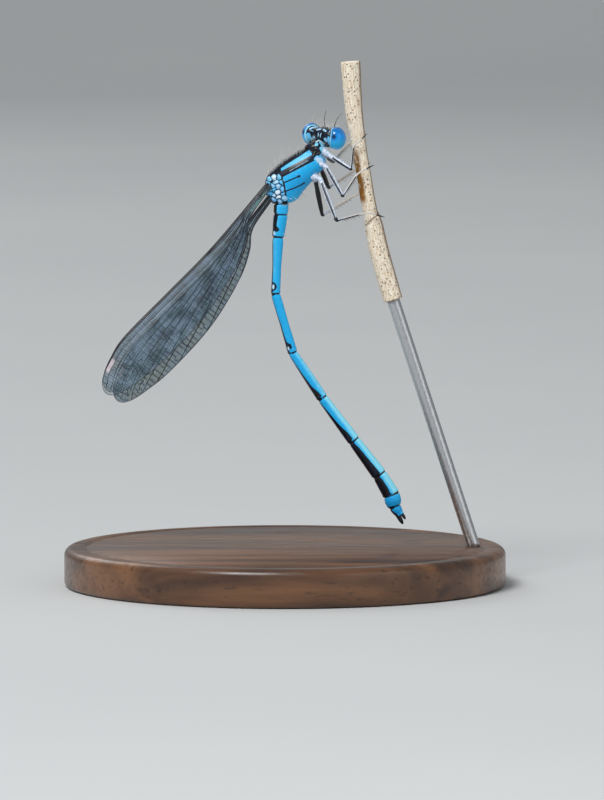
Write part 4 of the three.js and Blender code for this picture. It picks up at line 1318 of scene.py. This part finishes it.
# Perch: a cut length of dry stem with the edge of a leaf sheath
stem = {
    "points": [
        (5.0, 40.38, 0.74), (5.27, 36.69, 0.66), (5.58, 34.38, 0.6), (5.85, 32.85, 0.55), (6.08, 31.69, 0.54),
        (6.31, 30.15, 0.55), (6.58, 28.77, 0.57), (6.81, 27.77, 0.68), (7.19, 25.92, 0.72),
        (7.73, 24.0, 0.72), (8.3, 22.08, 0.71),
    ],
    "rows": 220, "sides": 72, "ribs": 18, "ribDepth": 0.012, "sheathEdge": 28.35, "sheathDepth": 0.05,
}


def stemPiece():
    rows, sides = stem["rows"], stem["sides"]
    line = smoothLine([(x, 0, z, r) for x, z, r in stem["points"]], rows)
    turn = circle(sides)
    ahead = unit(np.gradient(line[:, :3], axis=0))
    rings, stain, shadow = [], [], []
    for i, ((x, _, z, radius), course) in enumerate(zip(line, ahead)):
        out = np.array([-course[2], 0, course[0]])
        edge = stem["sheathEdge"] + 0.35 * np.cos(turn - 0.4) + 0.08 * np.sin(3 * turn)
        wrapped = smoothStep(edge - z, 0, 0.07)
        reach = radius * (1 + 0.03 * np.cos(3 * turn + i * 0.035)) - 0.03 * (z < 29)
        ribs = np.cos(stem["ribs"] * turn + 0.6 * np.sin(z * 0.8)) * (1 - 0.4 * wrapped)
        reach = reach + stem["ribDepth"] * ribs + stem["sheathDepth"] * wrapped * (z < 30)
        rings.append(np.array([x, 0, z]) + reach[:, None] * spokes(turn, out))
        leftward = -np.cos(turn) * np.sign(out[0])
        stained = smoothStep(z, 29.3, 30.0) * (1 - smoothStep(z, 33.0, 34.2))
        stain.append(smoothStep(leftward, 0.05, 0.5) * stained)
        shadow.append(0.8 * smoothStep(np.abs(edge - z + 0.03), 0.09, 0.02) * (z < 30)
                      + 0.75 * smoothStep(-leftward, 0.8, 0.95))
    made = meshObject("stem", np.array(rings).reshape(-1, 3), ringFaces(rows, sides))
    work = bmesh.new()
    work.from_mesh(made.data)
    layer = work.loops.layers.uv.new("stemMap")
    for face in work.faces:
        row, column = divmod(face.index, sides)
        for loop, (dr, dc) in zip(face.loops, ((0, 0), (0, 1), (1, 1), (1, 0))):
            loop[layer].uv = ((column + dc) / sides, (row + dr) / rows * 18.5)
    work.verts.ensure_lookup_table()
    for row in (0, rows - 1):
        # The cut: a bark rim, then the pith a little lower
        ring = [work.verts[row * sides + j] for j in range(sides)]
        middle = sum((v.co for v in ring), Vector()) / sides
        inward = Vector(ahead[row]) * (0.12 if row == 0 else -0.12)
        for share, sink in ((0.86, 0.0), (0.8, 0.5), (0.4, 0.8)):
            inner = [work.verts.new(middle + (v.co - middle) * share + inward * sink) for v in
                     [work.verts[row * sides + j] for j in range(sides)]]
            for j in range(sides):
                work.faces.new((ring[j], ring[(j + 1) % sides], inner[(j + 1) % sides], inner[j]))
            ring = inner
            work.verts.ensure_lookup_table()
        work.faces.new(ring)
    bmesh.ops.recalc_face_normals(work, faces=work.faces)
    work.to_mesh(made.data)
    work.free()
    extra = len(made.data.vertices) - rows * sides
    setValue(made, "stain", np.concatenate([np.array(stain).ravel(), np.zeros(extra)]))
    setValue(made, "shadow", np.clip(np.concatenate([np.array(shadow).ravel(), np.zeros(extra)]), 0, 1))
    setValue(made, "pith", np.concatenate([np.zeros(rows * sides), np.full(extra, 0.85)]))
    finishPiece(made, "dry_perch", finishes["stem"], ["perch"])


stemPiece()

# Display stand: a steel rod into a turned walnut base
stand = {"rod": 0.5, "foot": (14.54, 0, 3.0), "base": 17.0, "height": 3.0, "edge": 0.6, "groove": 0.12}
stemEnd = np.array([stem["points"][-1][0], 0, stem["points"][-1][1]])
foot = np.array(stand["foot"])
course = unit(foot - stemEnd)
between = [stemEnd + (foot - stemEnd) * t for t in np.linspace(0.02, 0.985, 24)]
rodLine = [stemEnd - course * 0.3, *between, foot + course * 0.25]  # both ends sunk in
rod = loft("rod", tubeRings(rodLine, [stand["rod"]] * len(rodLine), 40))
finishPiece(rod, "stand_pin", finishes["steel"], ["stand_rod"])
base, top, edge = stand["base"], stand["height"], stand["edge"]
outline = [(0.2, 0.0), (base - 0.5, 0.0), (base - 0.1, 0.12), (base, 0.35)]
outline += [(base - edge * (1 - math.cos(t)), top - edge * (1 - math.sin(t)))
            for t in np.linspace(0, math.pi / 2, 9)]
outline += [(base - 1.4, top), (base - 1.55, top - stand["groove"]), (base - 1.8, top - stand["groove"]),
            (base - 1.95, top), (0.2, top)]
disc = loft("disc", [r * spokes(circle(160), (1, 0, 0)) + [0, 0, z] for r, z in outline])
finishPiece(disc, "stand_disc", finishes["walnut"], ["stand_base"])
print("perch and stand made")

# Floor, light and camera
view = {"aim": (1.31, 0.0, 14.33), "elevation": 5.0, "distance": 700.0, "height": 61.54}


def stageSweep():
    # A pale floor that turns up behind into a backdrop
    depth = [(-900, 0), (700, 0)] + [(700 + 300 * math.sin(t), 300 - 300 * math.cos(t))
                                     for t in np.linspace(0.1, math.pi / 2, 14)] + [(1000, 1200)]
    points = [(x, y, z) for y, z in depth for x in (-1400, 1400)]
    faces = [(2 * i, 2 * i + 1, 2 * i + 3, 2 * i + 2) for i in range(len(depth) - 1)]
    made = meshObject("studio_sweep", points, faces)
    made.data.transform(Matrix.Scale(metre, 4))
    made.data.materials.append(clouded("pale paper", {"Roughness": 0.9}, 60.0, ("#C6C9CA", "#CFD1D1")))
    made.data.shade_smooth()


def addLight(name, place, energy, size):
    data = bpy.data.lights.new(name, "AREA")
    data.energy, data.size = energy, size
    made = bpy.data.objects.new(name, data)
    bpy.context.scene.collection.objects.link(made)
    made.location = Vector(place) * metre
    aim = Vector(view["aim"]) * metre
    made.rotation_euler = (made.location - aim).to_track_quat("Z", "Y").to_euler()


stageSweep()
addLight("key softbox", (-210, -430, 520), 3.5, 0.25)
addLight("fill softbox", (520, -420, 220), 0.6, 0.5)
addLight("back softbox", (-300, 460, 420), 1.0, 0.4)
world = bpy.data.worlds.new("studio")
bpy.context.scene.world = world
world.use_nodes = True
world.node_tree.nodes["Background"].inputs["Color"].default_value = linear("#F2F4F7")
world.node_tree.nodes["Background"].inputs["Strength"].default_value = 0.38
bpy.context.scene.view_settings.view_transform = "Standard"
cameraData = bpy.data.cameras.new("camera")
cameraData.lens = cameraData.sensor_width * view["distance"] / view["height"]
cameraData.clip_start, cameraData.clip_end = 0.05, 20
camera = bpy.data.objects.new("camera", cameraData)
bpy.context.scene.collection.objects.link(camera)
tilt = math.radians(view["elevation"])
back = Vector((0, -math.cos(tilt), math.sin(tilt)))
camera.location = (Vector(view["aim"]) + back * view["distance"]) * metre
camera.rotation_euler = back.to_track_quat("Z", "Y").to_euler()
bpy.context.scene.camera = camera
